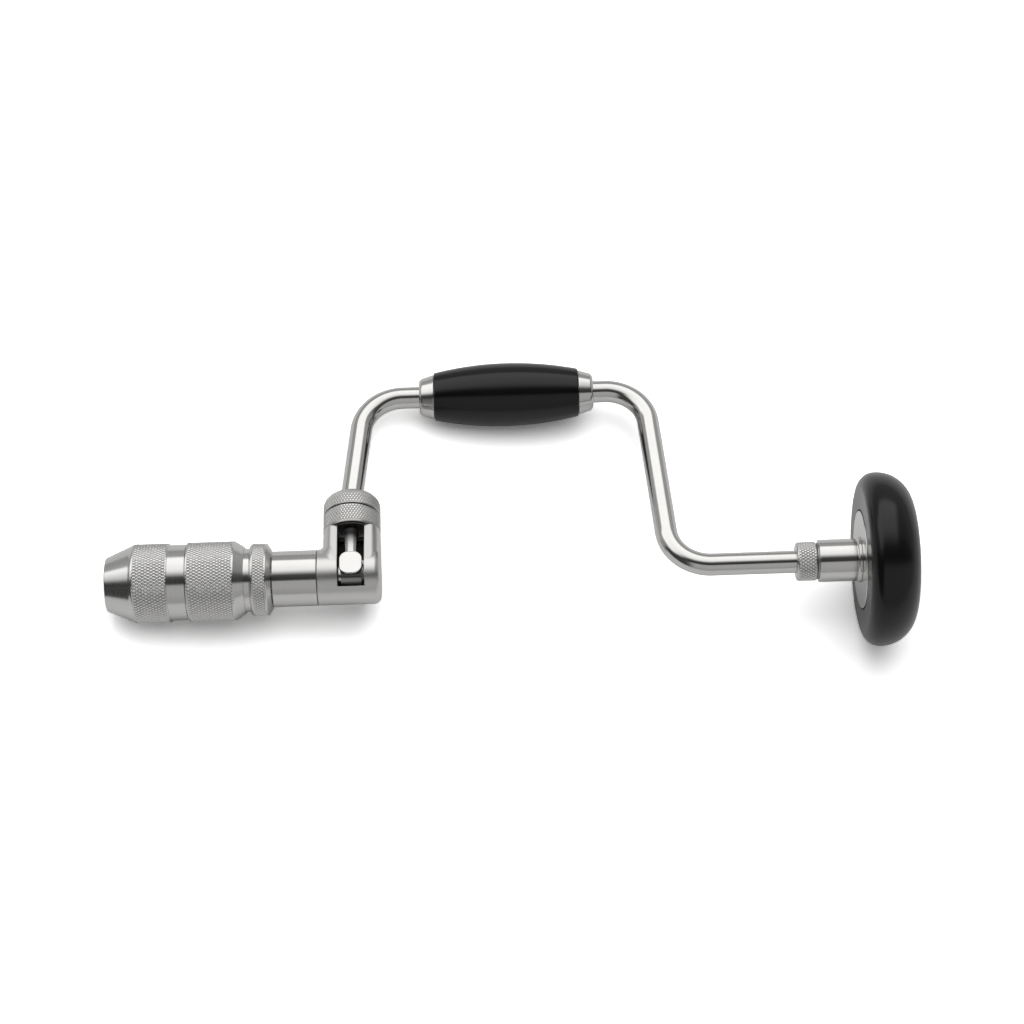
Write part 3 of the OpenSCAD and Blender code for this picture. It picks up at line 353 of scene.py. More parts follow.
# Marks of handling: broad smudges and a few hairline scratches
handling, given, put = newGroup(
    "handling", {"Vector": ("Vector", None), "Smudges": ("Float", 60.0), "Hairs": ("Float", 900.0)},
    {"Smudge": "Float", "Hair": "Float"})
smudge = addNode(handling, "ShaderNodeTexNoise",
                 {"Vector": given["Vector"], "Scale": given["Smudges"], "Detail": 4.0})
hair = addNode(handling, "ShaderNodeTexVoronoi", {
    "Vector": addNode(handling, "ShaderNodeVectorMath", {
        0: given["Vector"], 1: addNode(handling, "ShaderNodeTexNoise", {
            "Vector": given["Vector"], "Scale": 30.0}).outputs["Color"]}, operation="ADD").outputs[0],
    "Scale": given["Hairs"]}, feature="DISTANCE_TO_EDGE")
hairLine = addNode(handling, "ShaderNodeMapRange",
                   {"Value": hair.outputs["Distance"], 2: 0.03, 3: 1.0, 4: 0.0})
handling.links.new(smudge.outputs["Fac"], put["Smudge"])
handling.links.new(hairLine.outputs[0], put["Hair"])

# Painted shade in grooves and recesses: the colour darkens toward the shade tone as the mesh's own relief
# falls, so the tips keep their own tone
paintedGrooveShade, given, put = newGroup(
    "paintedGrooveShade", {"Color": ("Color", None), "Gloss": ("Float", 0.2), "ShadeTone": ("Color", None),
                  "Dull": ("Float", 0.2)},
    {"Color": "Color", "Gloss": "Float"})
relief = addNode(paintedGrooveShade, "ShaderNodeAttribute", attribute_name="relief").outputs["Fac"]
recessShaded = addNode(paintedGrooveShade, "ShaderNodeMix", {0: relief, 6: given["ShadeTone"], 7: given["Color"]}, data_type="RGBA")
dull = maths(paintedGrooveShade, "MULTIPLY", maths(paintedGrooveShade, "SUBTRACT", 1.0, relief), given["Dull"])
paintedGrooveShade.links.new(recessShaded.outputs[2], put["Color"])
paintedGrooveShade.links.new(maths(paintedGrooveShade, "ADD", given["Gloss"], dull), put["Gloss"])

# Orange peel: the slight waviness of a sprayed or moulded black surface
orangePeel, given, put = newGroup("orangePeel", {"Vector": ("Vector", None), "Size": ("Float", 500.0)},
                                  {"Height": "Float"})
peel = addNode(orangePeel, "ShaderNodeTexNoise",
               {"Vector": given["Vector"], "Scale": given["Size"], "Detail": 2.0})
orangePeel.links.new(peel.outputs["Fac"], put["Height"])


def newMaterial(name, values):
    # an empty material with its Principled shader; the values go straight onto its sockets
    material = bpy.data.materials.new(name)
    material.use_nodes = True
    shader = material.node_tree.nodes["Principled BSDF"]
    for key, value in values.items():
        shader.inputs[key].default_value = value
    return material, material.node_tree, shader.inputs


def useGroup(tree, group, inputs):
    return addNode(tree, "ShaderNodeGroup", inputs, node_tree=group).outputs


def blend(tree, mask, low, high):
    # a value that runs from low to high with a mask
    return addNode(tree, "ShaderNodeMapRange", {"Value": mask, 1: 0.3, 2: 0.7, 3: low, 4: high}).outputs[0]


def tint(tree, mask, low, high):
    # a colour that runs from low to high with a mask
    node = addNode(tree, "ShaderNodeMix", {0: mask, 6: (*low, 1), 7: (*high, 1)}, data_type="RGBA")
    return node.outputs[2]


def metalMaterial(name, look, mapped):
    # plated metal: smudges change its gloss and tone, lathe lines its
    # gloss and bump; mapped pieces have their own UV
    material, tree, shader = newMaterial(name, {"Metallic": 1.0})
    place = addNode(tree, "ShaderNodeTexCoord").outputs
    marks = useGroup(tree, handling, {"Vector": place["Object"], "Smudges": look["smudges"]})
    scale = 1.0 if mapped else 1 / mm
    lines = useGroup(tree, turnedLines, {"Vector": place["UV" if mapped else "Object"],
                                         "Lines": look["lines"] * scale, "Stretch": look["stretch"] * scale})
    tone = maths(tree, "ADD", maths(tree, "MULTIPLY", marks["Smudge"], 0.5),
                 maths(tree, "MULTIPLY", lines["Streak"], 0.5))
    colour = tint(tree, tone, look["darkTone"], look["lightTone"])
    gloss = maths(tree, "ADD", blend(tree, tone, *look["roughness"]),
                  maths(tree, "MULTIPLY", marks["Hair"], look["hair"]))
    # painted shade: grooves and recesses darken toward the look's shade tone, by the mesh's relief
    if "paintedShade" in look:
        shadedSurface = useGroup(tree, paintedGrooveShade,
                         {"Color": colour, "Gloss": gloss, "ShadeTone": (*look["paintedShade"], 1), "Dull": look["dull"]})
        colour, gloss = shadedSurface["Color"], shadedSurface["Gloss"]
    if "plainShade" in look:     # the knurled zone keeps its brighter tone, a painted sheen on the knurl's tips; the turned parts of a knurled piece come down to plain nickel
        knurled = addNode(tree, "ShaderNodeAttribute", attribute_name="knurled").outputs["Fac"]
        shade = addNode(tree, "ShaderNodeMapRange",
                        {"Value": knurled, 3: look["plainShade"], 4: 1.0}).outputs[0]
        colour = addNode(tree, "ShaderNodeVectorMath", {0: colour, "Scale": shade},
                         operation="SCALE").outputs[0]
    tree.links.new(colour, shader["Base Color"])
    tree.links.new(gloss, shader["Roughness"])
    bump = addNode(tree, "ShaderNodeBump",
                   {"Height": lines["Height"], "Strength": look["lineDepth"], "Distance": 2e-5})
    tree.links.new(bump.outputs[0], shader["Normal"])
    return material


def lacquerMaterial(name, look):
    # black gloss: smudges dull it in patches, orange peel bends its highlights a little
    material, tree, shader = newMaterial(name, {"Specular IOR Level": look["shine"]})
    place = addNode(tree, "ShaderNodeTexCoord").outputs
    marks = useGroup(tree, handling, {"Vector": place["Object"], "Smudges": look["smudges"]})
    tree.links.new(tint(tree, marks["Smudge"], look["darkTone"], look["lightTone"]), shader["Base Color"])
    gloss = maths(tree, "ADD", blend(tree, marks["Smudge"], *look["roughness"]),
                  maths(tree, "MULTIPLY", marks["Hair"], look["hair"]))
    tree.links.new(gloss, shader["Roughness"])
    peel = useGroup(tree, orangePeel, {"Vector": place["Object"], "Size": look["peel"]})
    bump = addNode(tree, "ShaderNodeBump",
                   {"Height": peel["Height"], "Strength": look["peelDepth"], "Distance": 1e-4})
    tree.links.new(bump.outputs[0], shader["Normal"])
    return material


brightLook = {"darkTone": (0.58, 0.575, 0.56), "lightTone": (0.68, 0.675, 0.66), "roughness": (0.1, 0.15),
              "hair": 0.03, "smudges": 70.0, "lines": 1.6, "stretch": 0.01, "lineDepth": 0.2}
# satin and pawl looks: near-black painted shade in their recesses
satinLook = {**brightLook, "roughness": (0.28, 0.34), "lineDepth": 0.1, "paintedShade": (0.04, 0.04, 0.04),
             "dull": 0.3}
pawlLook = {**brightLook, "paintedShade": (0.03, 0.03, 0.03), "dull": 0.3}
# knurl tone brighter than plain nickel: a painted sheen on the knurl's tips, with a painted shade tone in its
# grooves
knurlSheenLook = {**brightLook, "darkTone": (0.78, 0.775, 0.76), "lightTone": (0.88, 0.875, 0.86),
             "roughness": (0.13, 0.19), "lineDepth": 0.05, "paintedShade": (0.3, 0.295, 0.285), "dull": 0.2,
             "plainShade": 0.76}
wheelLook = {**brightLook, "darkTone": (0.34, 0.34, 0.34), "lightTone": (0.46, 0.46, 0.455),
             "roughness": (0.3, 0.4)}
# near-black metal for the groove washer: painted shade in the narrow groove
grooveShadeLook = {**brightLook, "darkTone": (0.02, 0.02, 0.02), "lightTone": (0.04, 0.04, 0.04),
             "roughness": (0.4, 0.5)}
bronzeLook = {**brightLook, "darkTone": (0.50, 0.33, 0.15), "lightTone": (0.66, 0.46, 0.24),
              "roughness": (0.26, 0.38)}
gripLook = {"darkTone": (0.002, 0.002, 0.0022), "lightTone": (0.003, 0.003, 0.0033),
            "roughness": (0.15, 0.2), "hair": 0.05, "smudges": 45.0, "peel": 700.0, "peelDepth": 0.05,
            "shine": 0.37}
padLook = {**gripLook, "roughness": (0.18, 0.24)}

turnedNickel = metalMaterial("turnedNickel", brightLook, True)
plainNickel = metalMaterial("plainNickel", brightLook, False)
satinNickel = metalMaterial("satinNickel", satinLook, False)
pawlNickel = metalMaterial("pawlNickel", pawlLook, False)
knurledNickel = metalMaterial("knurledNickel", knurlSheenLook, True)
groundSteel = metalMaterial("groundSteel", wheelLook, False)
grooveShadeSteel = metalMaterial("grooveShadeSteel", grooveShadeLook, False)
turnedBronze = metalMaterial("turnedBronze", bronzeLook, False)
gripLacquer = lacquerMaterial("gripLacquer", gripLook)
padLacquer = lacquerMaterial("padLacquer", padLook)

# Every carried-over solid takes the finish of its slot
slotFinish = {"bright_steel": plainNickel, "knurled_steel": plainNickel, "dark_steel": groundSteel,
              "bronze": turnedBronze, "black_lacquer": gripLacquer}
# the groove washer is painted near-black, as painted shade in the narrow groove below the cam ring
nodeFinish = {"groove_washer": grooveShadeSteel}
for part in frame["record"]["subparts"]:
    node = frame["nodes"][part["node"]]
    node.data.materials.clear()
    node.data.materials.append(nodeFinish.get(part["node"], slotFinish[part["material_slot"]]))
print("materials on", len(frame["nodes"]), "solids")

# Chuck: the front sleeve has the nose cone, a knurl and the smooth band
frontSleeve = {"noseRadius": 12.2, "mouthRadius": 9.6, "coneEnd": 11.8, "coneRadius": 17.33,
               "knurlStart": 13.0, "knurlEnd": 29.0, "bandRadius": 17.25, "wall": 1.35, "mouthLen": 1.5,
               "innerCone": 14.2, "sides": 660, "step": 0.2}
chuckKnurl = {"pitch": 1.5, "lead": 2.6, "depth": 0.27, "crest": 1.8, "uneven": 0.25, "fade": 0.9,
              "inside": 0.97}
low, high = span("front_sleeve")
f, outer, end = frontSleeve, high[2], high[0]
chuckKnurl["radius"] = outer
outline = roundOff([
    (0, f["mouthRadius"], 0.4), (0, f["noseRadius"], 0.5), (f["coneEnd"], f["coneRadius"], 0.5),
    (f["knurlStart"], outer, 0.5), (f["knurlEnd"], outer, 0.25), (f["knurlEnd"], f["bandRadius"], 0.15),
    (end, f["bandRadius"], 0.25), (end, f["bandRadius"] - f["wall"], 0.2),
    (f["innerCone"], f["bandRadius"] - f["wall"], 0.3), (f["mouthLen"], f["mouthRadius"], 0.3)])
outline = refine(outline, f["knurlStart"], f["knurlEnd"], f["step"], outer * 0.985)
dress(lathe("frontSleeve", outline, f["sides"],
            cuts=diamondCuts(chuckKnurl, f["knurlStart"] + 0.2, f["knurlEnd"] - 0.1)),
      knurledNickel, "chuck_sleeve", "knurled_steel", "front_sleeve")

# Rear sleeve: the long knurl and the rear cone
rearSleeve = {"coneStart": 58.9, "coneRadius": 15.1, "neckRadius": 14.52, "bodyRadius": 15.62,
              "shoulder": 49.9, "sides": 660, "step": 0.22}
low, high = span("rear_sleeve")
r, start, end = rearSleeve, low[0], high[0]
outline = roundOff([
    (start, r["bodyRadius"], 0.15), (start, outer, 0.3), (r["coneStart"], outer, 0.25),
    (end, r["coneRadius"], 0.2), (end, r["neckRadius"], 0.1), (r["shoulder"], r["neckRadius"], 0.1),
    (r["shoulder"], r["bodyRadius"], 0.1)])
outline = refine(outline, start, r["coneStart"], r["step"], outer * 0.985)
dress(lathe("rearSleeve", outline, r["sides"],
            cuts=diamondCuts(chuckKnurl, start + 0.3, r["coneStart"] - 0.2)),
      knurledNickel, "spindle", "knurled_steel", "rear_sleeve")

# Knurled ring behind the chuck
holdRing = {"frontBevel": 1.0, "rearLen": 2.0, "rearRadius": 13.6, "hubRadius": 10.02, "sides": 600,
            "step": 0.16}
ringKnurl = {**chuckKnurl, "pitch": 1.4, "lead": 2.3, "fade": 0.7}
low, high = span("hold_ring")
h, start, end, holdRadius = holdRing, low[0], high[0], high[2]
ringKnurl["radius"] = holdRadius
outline = roundOff([
    (start, h["hubRadius"], 0.1), (start, holdRadius - h["frontBevel"], 0.3),
    (start + h["frontBevel"], holdRadius, 0.4), (end - h["rearLen"], holdRadius, 0.3),
    (end, h["rearRadius"], 0.2), (end, h["hubRadius"], 0.1)])
outline = refine(outline, start + h["frontBevel"], end - h["rearLen"], h["step"], holdRadius * 0.985)
cuts = diamondCuts(ringKnurl, start + h["frontBevel"] + 0.3, end - h["rearLen"] - 0.3)
dress(lathe("holdRing", outline, h["sides"], cuts=cuts), knurledNickel, "spindle", "knurled_steel",
      "hold_ring")
print("chuck sleeves and ring turned")

# Barrel: polished, with a fine dark joint to the elbow
barrel = {"boreRadius": 10.2, "spigotRadius": 9.5, "bushRadius": 8.01, "spigotLen": 5.0, "counterbore": 85.5,
          "jointGap": 0.12, "sides": 256}
low, high = span("barrel")
b, start, barrelRadius, jointX = barrel, low[0], high[2], high[0] - barrel["spigotLen"]
outline = roundOff([
    (start, b["boreRadius"], 0.2), (start, barrelRadius, 0.45), (jointX - b["jointGap"], barrelRadius, 0.3),
    (jointX - b["jointGap"], b["spigotRadius"], 0.1), (high[0], b["spigotRadius"], 0.2),
    (high[0], b["bushRadius"], 0.1), (b["counterbore"], b["bushRadius"], 0.1),
    (b["counterbore"], b["boreRadius"], 0.1)])
dress(lathe("barrelTube", outline, b["sides"]), turnedNickel, "frame", "bright_steel", "barrel")

# Elbow: the barrel's closed end, a leg whose two faces run up from
# its sides, cut by the window, and a neck for the rod
elbow = {"legRadius": 13.0, "topRadius": 14.0, "rootRadius": 16.1, "flat": 10.0, "fillet": 2.4,
         "endRound": 3.4, "cornerRound": 0.7, "sideRound": 1.5, "edgeRound": 0.3, "windowWidth": 12.1,
         "windowLow": 9.8, "seatRadius": 11.4, "seatLen": 3.0, "neckRadius": 8.6, "journal": 6.6,
         "tailBore": 6.02, "tailLen": 4.92, "stemBore": 2.45, "socketLen": 12.0, "rodBore": 5.17,
         "pinHalf": 1.4, "pinTurn": 40.0, "baffleHalf": 0.6, "baffleGap": 0.6, "webRoom": 3.2,
         "filletReach": 2.5, "filletRise": (2.0, 8.0), "step": 0.34}
low, high = span("elbow")
elbowEnd, neckTop, windowHigh = high[0], high[1], span("leg_collar")[0][1]
# the faces touch the barrel along a line and lean in from there
faceReach = np.hypot(windowHigh, elbow["flat"])
faceLean = np.arctan2(windowHigh, elbow["flat"]) - np.arccos(barrelRadius / faceReach)
socketY, pinY = neckTop - elbow["socketLen"], sum(span("cross_pin"))[1] / 2
webHigh, pawlTop = span("shuttle_pawl")[1][1:]
baffleLow = span("ratchet_wheel")[1][1] + elbow["baffleGap"]
baffleHigh = webHigh - elbow["webRoom"]


def elbowSkin(x, y, z):
    # distance to the uncut elbow: the barrel's end, the leg and
    # the neck, with a fillet at the leg's left root
    e = elbow
    fromLeg, fromMain = np.hypot(x - legX, z), np.hypot(y, z)
    crossing = roundMeet(fromMain - barrelRadius, x - elbowEnd, e["endRound"])
    crossing = roundMeet(crossing, jointX + barrel["jointGap"] - x, 0.3)
    face = y * np.sin(faceLean) + np.abs(z) * np.cos(faceLean) - barrelRadius
    corner = fromLeg - e["rootRadius"] + (e["rootRadius"] - e["topRadius"]) * y / windowHigh
    sides = np.maximum(legX - e["legRadius"] - x, x - elbowEnd)
    leg = roundMeet(roundMeet(corner, face, e["cornerRound"]), sides, e["sideRound"])
    leg = np.maximum(np.maximum(leg, y - windowHigh), barrelRadius * np.sin(faceLean) - y)
    inLeft = np.clip((legX - 0.5 * e["legRadius"] - x) / e["filletReach"], 0, 1)
    fillet = 0.02 + e["fillet"] * inLeft * np.interp(y, e["filletRise"], (0, 1))
    seat = np.maximum(fromLeg - e["seatRadius"], y - windowHigh - e["seatLen"])
    neck = np.maximum(fromLeg - e["neckRadius"], y - neckTop)
    upper = np.maximum(np.minimum(seat, neck), windowHigh - 0.1 - y)
    return np.minimum(roundJoin(crossing, leg, fillet), upper)


def elbowField(x, y, z):
    # the same, less the window, the bores and the room that the
    # cross pin sweeps, with a thin baffle over the wheel
    e, across = elbow, np.abs(z)
    fromLeg, fromMain = np.hypot(x - legX, z), np.hypot(y, z)
    half = e["windowWidth"] / 2
    window = np.maximum(np.abs(x - legX) - half, np.maximum(-y - e["windowLow"], y - windowHigh))
    block = roundMeet(elbowSkin(x, y, z), -window, e["edgeRound"])
    lean = np.radians(e["pinTurn"])
    sweptWidth = across * np.cos(lean) - np.abs(x - legX) * np.sin(lean)
    bores = [np.maximum(fromMain - barrel["spigotRadius"] - 0.05, x - jointX - barrel["spigotLen"] - 0.3),
             np.maximum(fromMain - e["journal"], x - legX),
             np.maximum(fromMain - e["tailBore"], np.maximum(legX - x, x - legX - half - e["tailLen"])),
             np.maximum(fromLeg - e["stemBore"], np.maximum(windowHigh - 1 - y, y - socketY - 1)),
             np.maximum(fromLeg - e["rodBore"], socketY - y),
             np.maximum(np.abs(y - pinY), sweptWidth) - e["pinHalf"]]
    baffle = np.maximum(np.maximum(np.abs(x - legX) - half - 0.5, across - e["baffleHalf"]),
                        np.maximum(baffleLow - y, y - baffleHigh))
    return np.minimum(np.maximum(block, -np.minimum.reduce(bores)), baffle)


# the window's walls, bores and baffle lie below the elbow's skin, so their relief takes painted shade
edge = 3 * elbow["step"]
dress(carved("elbowBlock", elbowField, low - edge, high + edge, elbow["step"], elbowSkin), satinNickel,
      "frame", "bright_steel", "elbow")
print("barrel and elbow made")

# Pawl: a polished button on each side of the wheel, on half-round
# necks that come down from a web with the stem's slot
pawl = {"buttonWidth": 10.5, "buttonLen": 11.9, "corner": 4.2, "thick": 1.8, "rise": 0.45, "crown": 0.5,
        "noseThick": 1.2, "noseHalf": 4.0, "noseZ": 7.7, "neckWidth": 5.8, "neckDrop": 0.15, "neckEnd": 0.8,
        "webLen": 2.6, "webHalf": 2.4, "headWidth": 12.0, "headHalf": 3.4, "slot": (-0.12, 3.68),
        "slotHalf": 1.34, "relief": (0.48, 3.08), "reliefHalf": 1.82, "edgeRound": 0.3,
        "shadeFrom": (6.6, 7.0, 10.0, 16.0), "paintedShade": (0, 0.08, 0.2, 1.0), "step": 0.2}
low, high = span("shuttle_pawl")


def boxField(half, *sides):       # distance to a box by its half sizes
    outside = [np.abs(side) - h for side, h in zip(sides, half)]
    reach = np.sqrt(sum(np.maximum(o, 0) ** 2 for o in outside))
    return reach + np.minimum(np.maximum.reduce(np.broadcast_arrays(*outside)), 0)


def softBox(half, *sides):        # the same with its edges rounded
    r = pawl["edgeRound"]
    return boxField([h - r for h in half], *sides) - r


def pawlField(x, y, z):
    # distance to the pawl, which is the same on both sides of the crank plane
    p, u, w = pawl, x - legX, np.abs(z)
    base = pawlTop - p["thick"]
    planHalf = p["buttonWidth"] / 2 - p["corner"], p["buttonLen"] / 2 - p["corner"]
    plan = boxField(planHalf, u, y - p["rise"]) - p["corner"]
    button = roundMeet(plan, np.abs(w - base - p["thick"] / 2) - p["thick"] / 2, p["crown"])
    noseTop = base + p["thick"] / 2
    noseHalf = p["noseHalf"], p["noseThick"] / 2, (noseTop - p["noseZ"]) / 2
    nose = softBox(noseHalf, u, y, w - (noseTop + p["noseZ"]) / 2)
    neckRise = p["thick"] - p["neckDrop"]
    crown = ((p["neckWidth"] / 2) ** 2 + neckRise ** 2) / (2 * neckRise)
    neckSide = np.hypot(u, w - base - neckRise + crown) - crown
    neck = np.maximum(roundMeet(neckSide, np.maximum(y - webHigh, -y), p["neckEnd"]), base - w)
    webY = y - webHigh + p["webLen"] / 2
    web = softBox((p["webHalf"], p["webLen"] / 2, base + 0.3), u, webY, z)
    head = softBox((p["headWidth"] / 2, p["webLen"] / 2, p["headHalf"]), u, webY, z)
    solid = np.minimum.reduce([button, nose, neck, web, head])
    for (first, last), half in ((p["slot"], p["slotHalf"]), (p["relief"], p["reliefHalf"])):
        solid = np.maximum(solid, -np.maximum(np.maximum(first - u, u - last), w - half))
    return solid


def pawlSkin(x, y, z):
    # depth below the button's base, and painted shade on the neck that deepens toward the collar, which
    # shades it
    shadeAmount = np.interp(y, pawl["shadeFrom"], pawl["paintedShade"])
    return np.minimum(np.abs(z) - pawlTop + pawl["thick"], 0) - recessDepth * shadeAmount


edge = 3 * pawl["step"]
dress(carved("shuttlePawl", pawlField, low - edge, high + edge, pawl["step"], pawlSkin),
      pawlNickel, "pawl", "bright_steel", "shuttle_pawl")

# Knurled collar that grows out of the leg, and the domed cam ring above the dark groove
legRings = {"collarBore": 11.45, "ringBore": 8.7, "skirtRadius": 11.3, "rodGap": 5.45, "lid": 0.8,
            "shoulderRadius": 8.7, "shoulderLen": 5.0, "straight": 4.8, "collarFoot": 13.02, "footLen": 1.6,
            "sides": 540, "step": 0.16}
legKnurl = {**ringKnurl, "depth": 0.3, "fade": 0.6, "inside": 0.6}
g = legRings
low, high = span("leg_collar")
legKnurl["radius"] = ringRadius = high[2]
outline = roundOff([
    (low[1], g["collarBore"], 0.15), (low[1], g["collarFoot"], 0.2),
    (low[1] + g["footLen"], ringRadius, 0.6), (high[1], ringRadius, 0.3), (high[1], g["collarBore"], 0.15)])
outline = refine(outline, low[1], high[1], g["step"], g["collarFoot"] * 0.985)


def collarCuts(outline, run, turn):
    # the knurl, and painted shade on the collar's foot, which darkens its lower edge
    depth, marks = diamondCuts(legKnurl, low[1] + 0.9, high[1] - 0.2)(outline, run, turn)
    marks["relief"] = marks["relief"] * np.clip((outline[:, :1] - low[1]) / g["footLen"], 0, 1)
    return depth, marks


dress(lathe("legCollar", outline, g["sides"], "arm", (legX, 0, 0), collarCuts),
      knurledNickel, "frame", "knurled_steel", "leg_collar")

low, high = span("cam_ring")
top = high[1]
domeStart = top - g["shoulderLen"]
ringStart, drop = domeStart - g["straight"], ringRadius - g["shoulderRadius"]
domeRadius = (drop ** 2 + g["shoulderLen"] ** 2) / (2 * drop)
bow = np.linspace(0, np.arcsin(g["shoulderLen"] / domeRadius), 40)
dome = np.stack([domeStart + domeRadius * np.sin(bow),
                 ringRadius - domeRadius + domeRadius * np.cos(bow)], -1)
side = roundOff([(low[1], g["ringBore"], 0.1), (low[1], g["skirtRadius"], 0.1),
                 (ringStart, g["skirtRadius"], 0.05),
                 (ringStart, ringRadius, 0.3), (domeStart, ringRadius, 0)])
outline = np.concatenate([
    refine(side, ringStart, top, g["step"], ringRadius * 0.985)[:-1], dome,
    [(top, g["rodGap"]), (top - g["lid"], g["rodGap"]), (top - g["lid"], g["ringBore"])]])
dress(lathe("camRing", outline, g["sides"], "arm", (legX, 0, 0),
            diamondCuts(legKnurl, ringStart + 0.3, top - 0.05)),
      knurledNickel, "selector", "knurled_steel", "cam_ring")
print("pawl and leg rings made")

# Crank rod: one bent bar from the leg's socket to the head
rod = {"nearLean": 6.3, "farLean": 7.2, "kneeRise": 2.5, "bend": 20.0, "kneeBend": 60.0, "farStraight": 5.3,
       "sides": 96, "step": 0.8}
low, high = span("crank_rod")
rodEnd, rodRadius = high[0], high[2]
farTurn = np.arctan2(throw, rod["farLean"])
farX = span("ferrule_far")[1][0] + rod["farStraight"] + rod["bend"] * np.tan(farTurn / 2)
corners = [(legX, socketY + 0.1, 0), (legX, top + rod["kneeRise"], 0), (legX + rod["nearLean"], throw, 0),
           (farX, throw, 0),
           (farX + rod["farLean"], 0, 0), (rodEnd, 0, 0)]
path = bentPath(corners, [rod["kneeBend"]] + [rod["bend"]] * 3, rod["step"])
dress(sweep("crankRod", path, rodRadius, rod["sides"]), turnedNickel, "frame", "bright_steel", "crank_rod")

# Grip: a barrel whose side is one arc, bored for the rod and its bushes
grip = {"midRadius": 15.1, "endRadius": 11.35, "edge": 0.5, "bushRadius": 7.02, "bushLen": 12.0,
        "bore": 5.75, "sides": 256}
low, high = span("grip")
p, half = grip, (high[0] - low[0]) / 2
side = np.linspace(-1, 1, 61)
sag = p["midRadius"] - p["endRadius"]
arcRadius = (half ** 2 + sag ** 2) / (2 * sag)
bulge = np.stack([gripX + half * side,
                  p["midRadius"] - arcRadius + np.sqrt(arcRadius ** 2 - (half * side) ** 2), 0 * side], -1)
bulge[[0, -1], 2] = p["edge"]
outline = roundOff([
    *bulge, (high[0], p["bushRadius"], 0.1), (high[0] - p["bushLen"], p["bushRadius"], 0.1),
    (high[0] - p["bushLen"], p["bore"], 0.1), (low[0] + p["bushLen"], p["bore"], 0.1),
    (low[0] + p["bushLen"], p["bushRadius"], 0.1), (low[0], p["bushRadius"], 0.1)])
dress(lathe("gripBody", outline, p["sides"], origin=(0, throw, 0)), gripLacquer, "grip", "black_lacquer",
      "grip")

# Ferrules: cups at the grip's ends, pressed on the rod
ferrule = {"radius": 10.6, "tipRadius": 8.5, "edge": 1.3, "lip": 0.4, "sides": 192}
for name, node in (("ferruleNear", "ferrule_near"), ("ferruleFar", "ferrule_far")):
    low, high = span(node)
    c, away = ferrule, -1 if high[0] < gripX else 1
    foot, tip = (high[0], low[0]) if away < 0 else (low[0], high[0])
    corners = [(foot, rodRadius + 0.02, 0.1), (foot, c["radius"], c["lip"]),
               (tip - away * 1.0, c["tipRadius"] + 0.25, 0.6),
               (tip, c["tipRadius"] - 1.0, 0.6), (tip, rodRadius + 0.02, 0.1)]
    outline = roundOff(corners if away > 0 else corners[::-1])
    dress(lathe(name, outline, c["sides"], origin=(0, throw, 0)), turnedNickel, "frame", "bright_steel", node)
print("rod, grip and ferrules made")

# Head: knurled nut, sleeve with its bead, plate, and the black pad
headNut = {"round": 1.6, "sides": 400, "step": 0.16}
nutKnurl = {**ringKnurl, "pitch": 1.5, "depth": 0.26, "uneven": 0.1, "fade": 1.0, "inside": 0.9}
low, high = span("head_nut")
nutRadius = nutKnurl["radius"] = high[2]
outline = roundOff([(low[0], rodRadius + 0.02, 0.1), (low[0], nutRadius, headNut["round"]),
                    (high[0], nutRadius, headNut["round"]),
                    (high[0], rodRadius + 0.02, 0.1)], 10)
outline = refine(outline, low[0], high[0], headNut["step"], nutRadius * 0.9)
dress(lathe("headNut", outline, headNut["sides"], cuts=diamondCuts(nutKnurl, low[0] + 0.5, high[0] - 0.5)),
      knurledNickel, "frame", "knurled_steel", "head_nut")

headSleeve = {"radius": 9.7, "bead": 1.6, "boreRadius": 7.22, "spigot": 8.45, "sides": 192}
low, high = span("head_sleeve")
plateX = span("head_plate")[0][0]
s, beadX = headSleeve, plateX - headSleeve["bead"]
outline = roundOff([
    (low[0], s["boreRadius"], 0.1), (low[0], s["radius"], 0.4), (beadX, s["radius"], 0.3),
    (beadX + 0.3, high[2], 0.3), (plateX, high[2], 0.3), (plateX, s["spigot"], 0.1),
    (high[0], s["spigot"], 0.1), (high[0], s["boreRadius"], 0.1)])
dress(lathe("headSleeve", outline, s["sides"]), turnedNickel, "head", "bright_steel", "head_sleeve")

headPlate = {"bore": 8.47, "edge": 0.4, "sides": 256}
low, high = span("head_plate")
outline = roundOff([(low[0], headPlate["bore"], 0.1), (low[0], high[2], headPlate["edge"]),
                    (high[0], high[2], 0.2),
                    (high[0], headPlate["bore"], 0.1)])
dress(lathe("headPlate", outline, headPlate["sides"]), turnedNickel, "head", "bright_steel", "head_plate")

headPad = {"rim": 7.1, "edge": 0.7, "dome": 2.0, "plateSeat": 23.0, "seatLen": 2.62, "cavity": 10.5,
           "cavityGap": 1.5, "sides": 320}
low, high = span("head_pad")
d, padRadius, seatX, cavityX = headPad, high[2], low[0] + headPad["seatLen"], rodEnd + headPad["cavityGap"]
rimX, rimCentre = low[0] + d["rim"], padRadius - d["rim"]
backX = rimX + d["edge"]
backRadius = high[0] - d["dome"] - backX
backCentre = padRadius - backRadius
capRadius = ((backRadius + d["dome"]) ** 2 + backCentre ** 2 - backRadius ** 2) / (2 * d["dome"])
capX = high[0] - capRadius
capTurn = np.arctan2(backCentre, backX - capX)
arcs = [(rimX, rimCentre, d["rim"], np.linspace(-np.pi / 2, 0, 24)),
        (backX, backCentre, backRadius, np.linspace(0, np.pi / 2 - capTurn, 40)),
        (capX, 0, capRadius, np.linspace(np.pi / 2 - capTurn, np.pi / 2, 40)[1:])]
outline = np.concatenate([
    [(cavityX, 0), (cavityX, d["cavity"]), (seatX, d["cavity"]), (seatX, d["plateSeat"]),
     (low[0] + 0.2, d["plateSeat"]),
     (low[0], d["plateSeat"] + 0.2)],
    *[np.stack([x + r * np.sin(angle), centre + r * np.cos(angle)], -1) for x, centre, r, angle in arcs]])
outline[-1, 1] = 0
dress(lathe("headPad", outline, d["sides"], closed=False), padLacquer, "head", "black_lacquer", "head_pad")
print("head made")

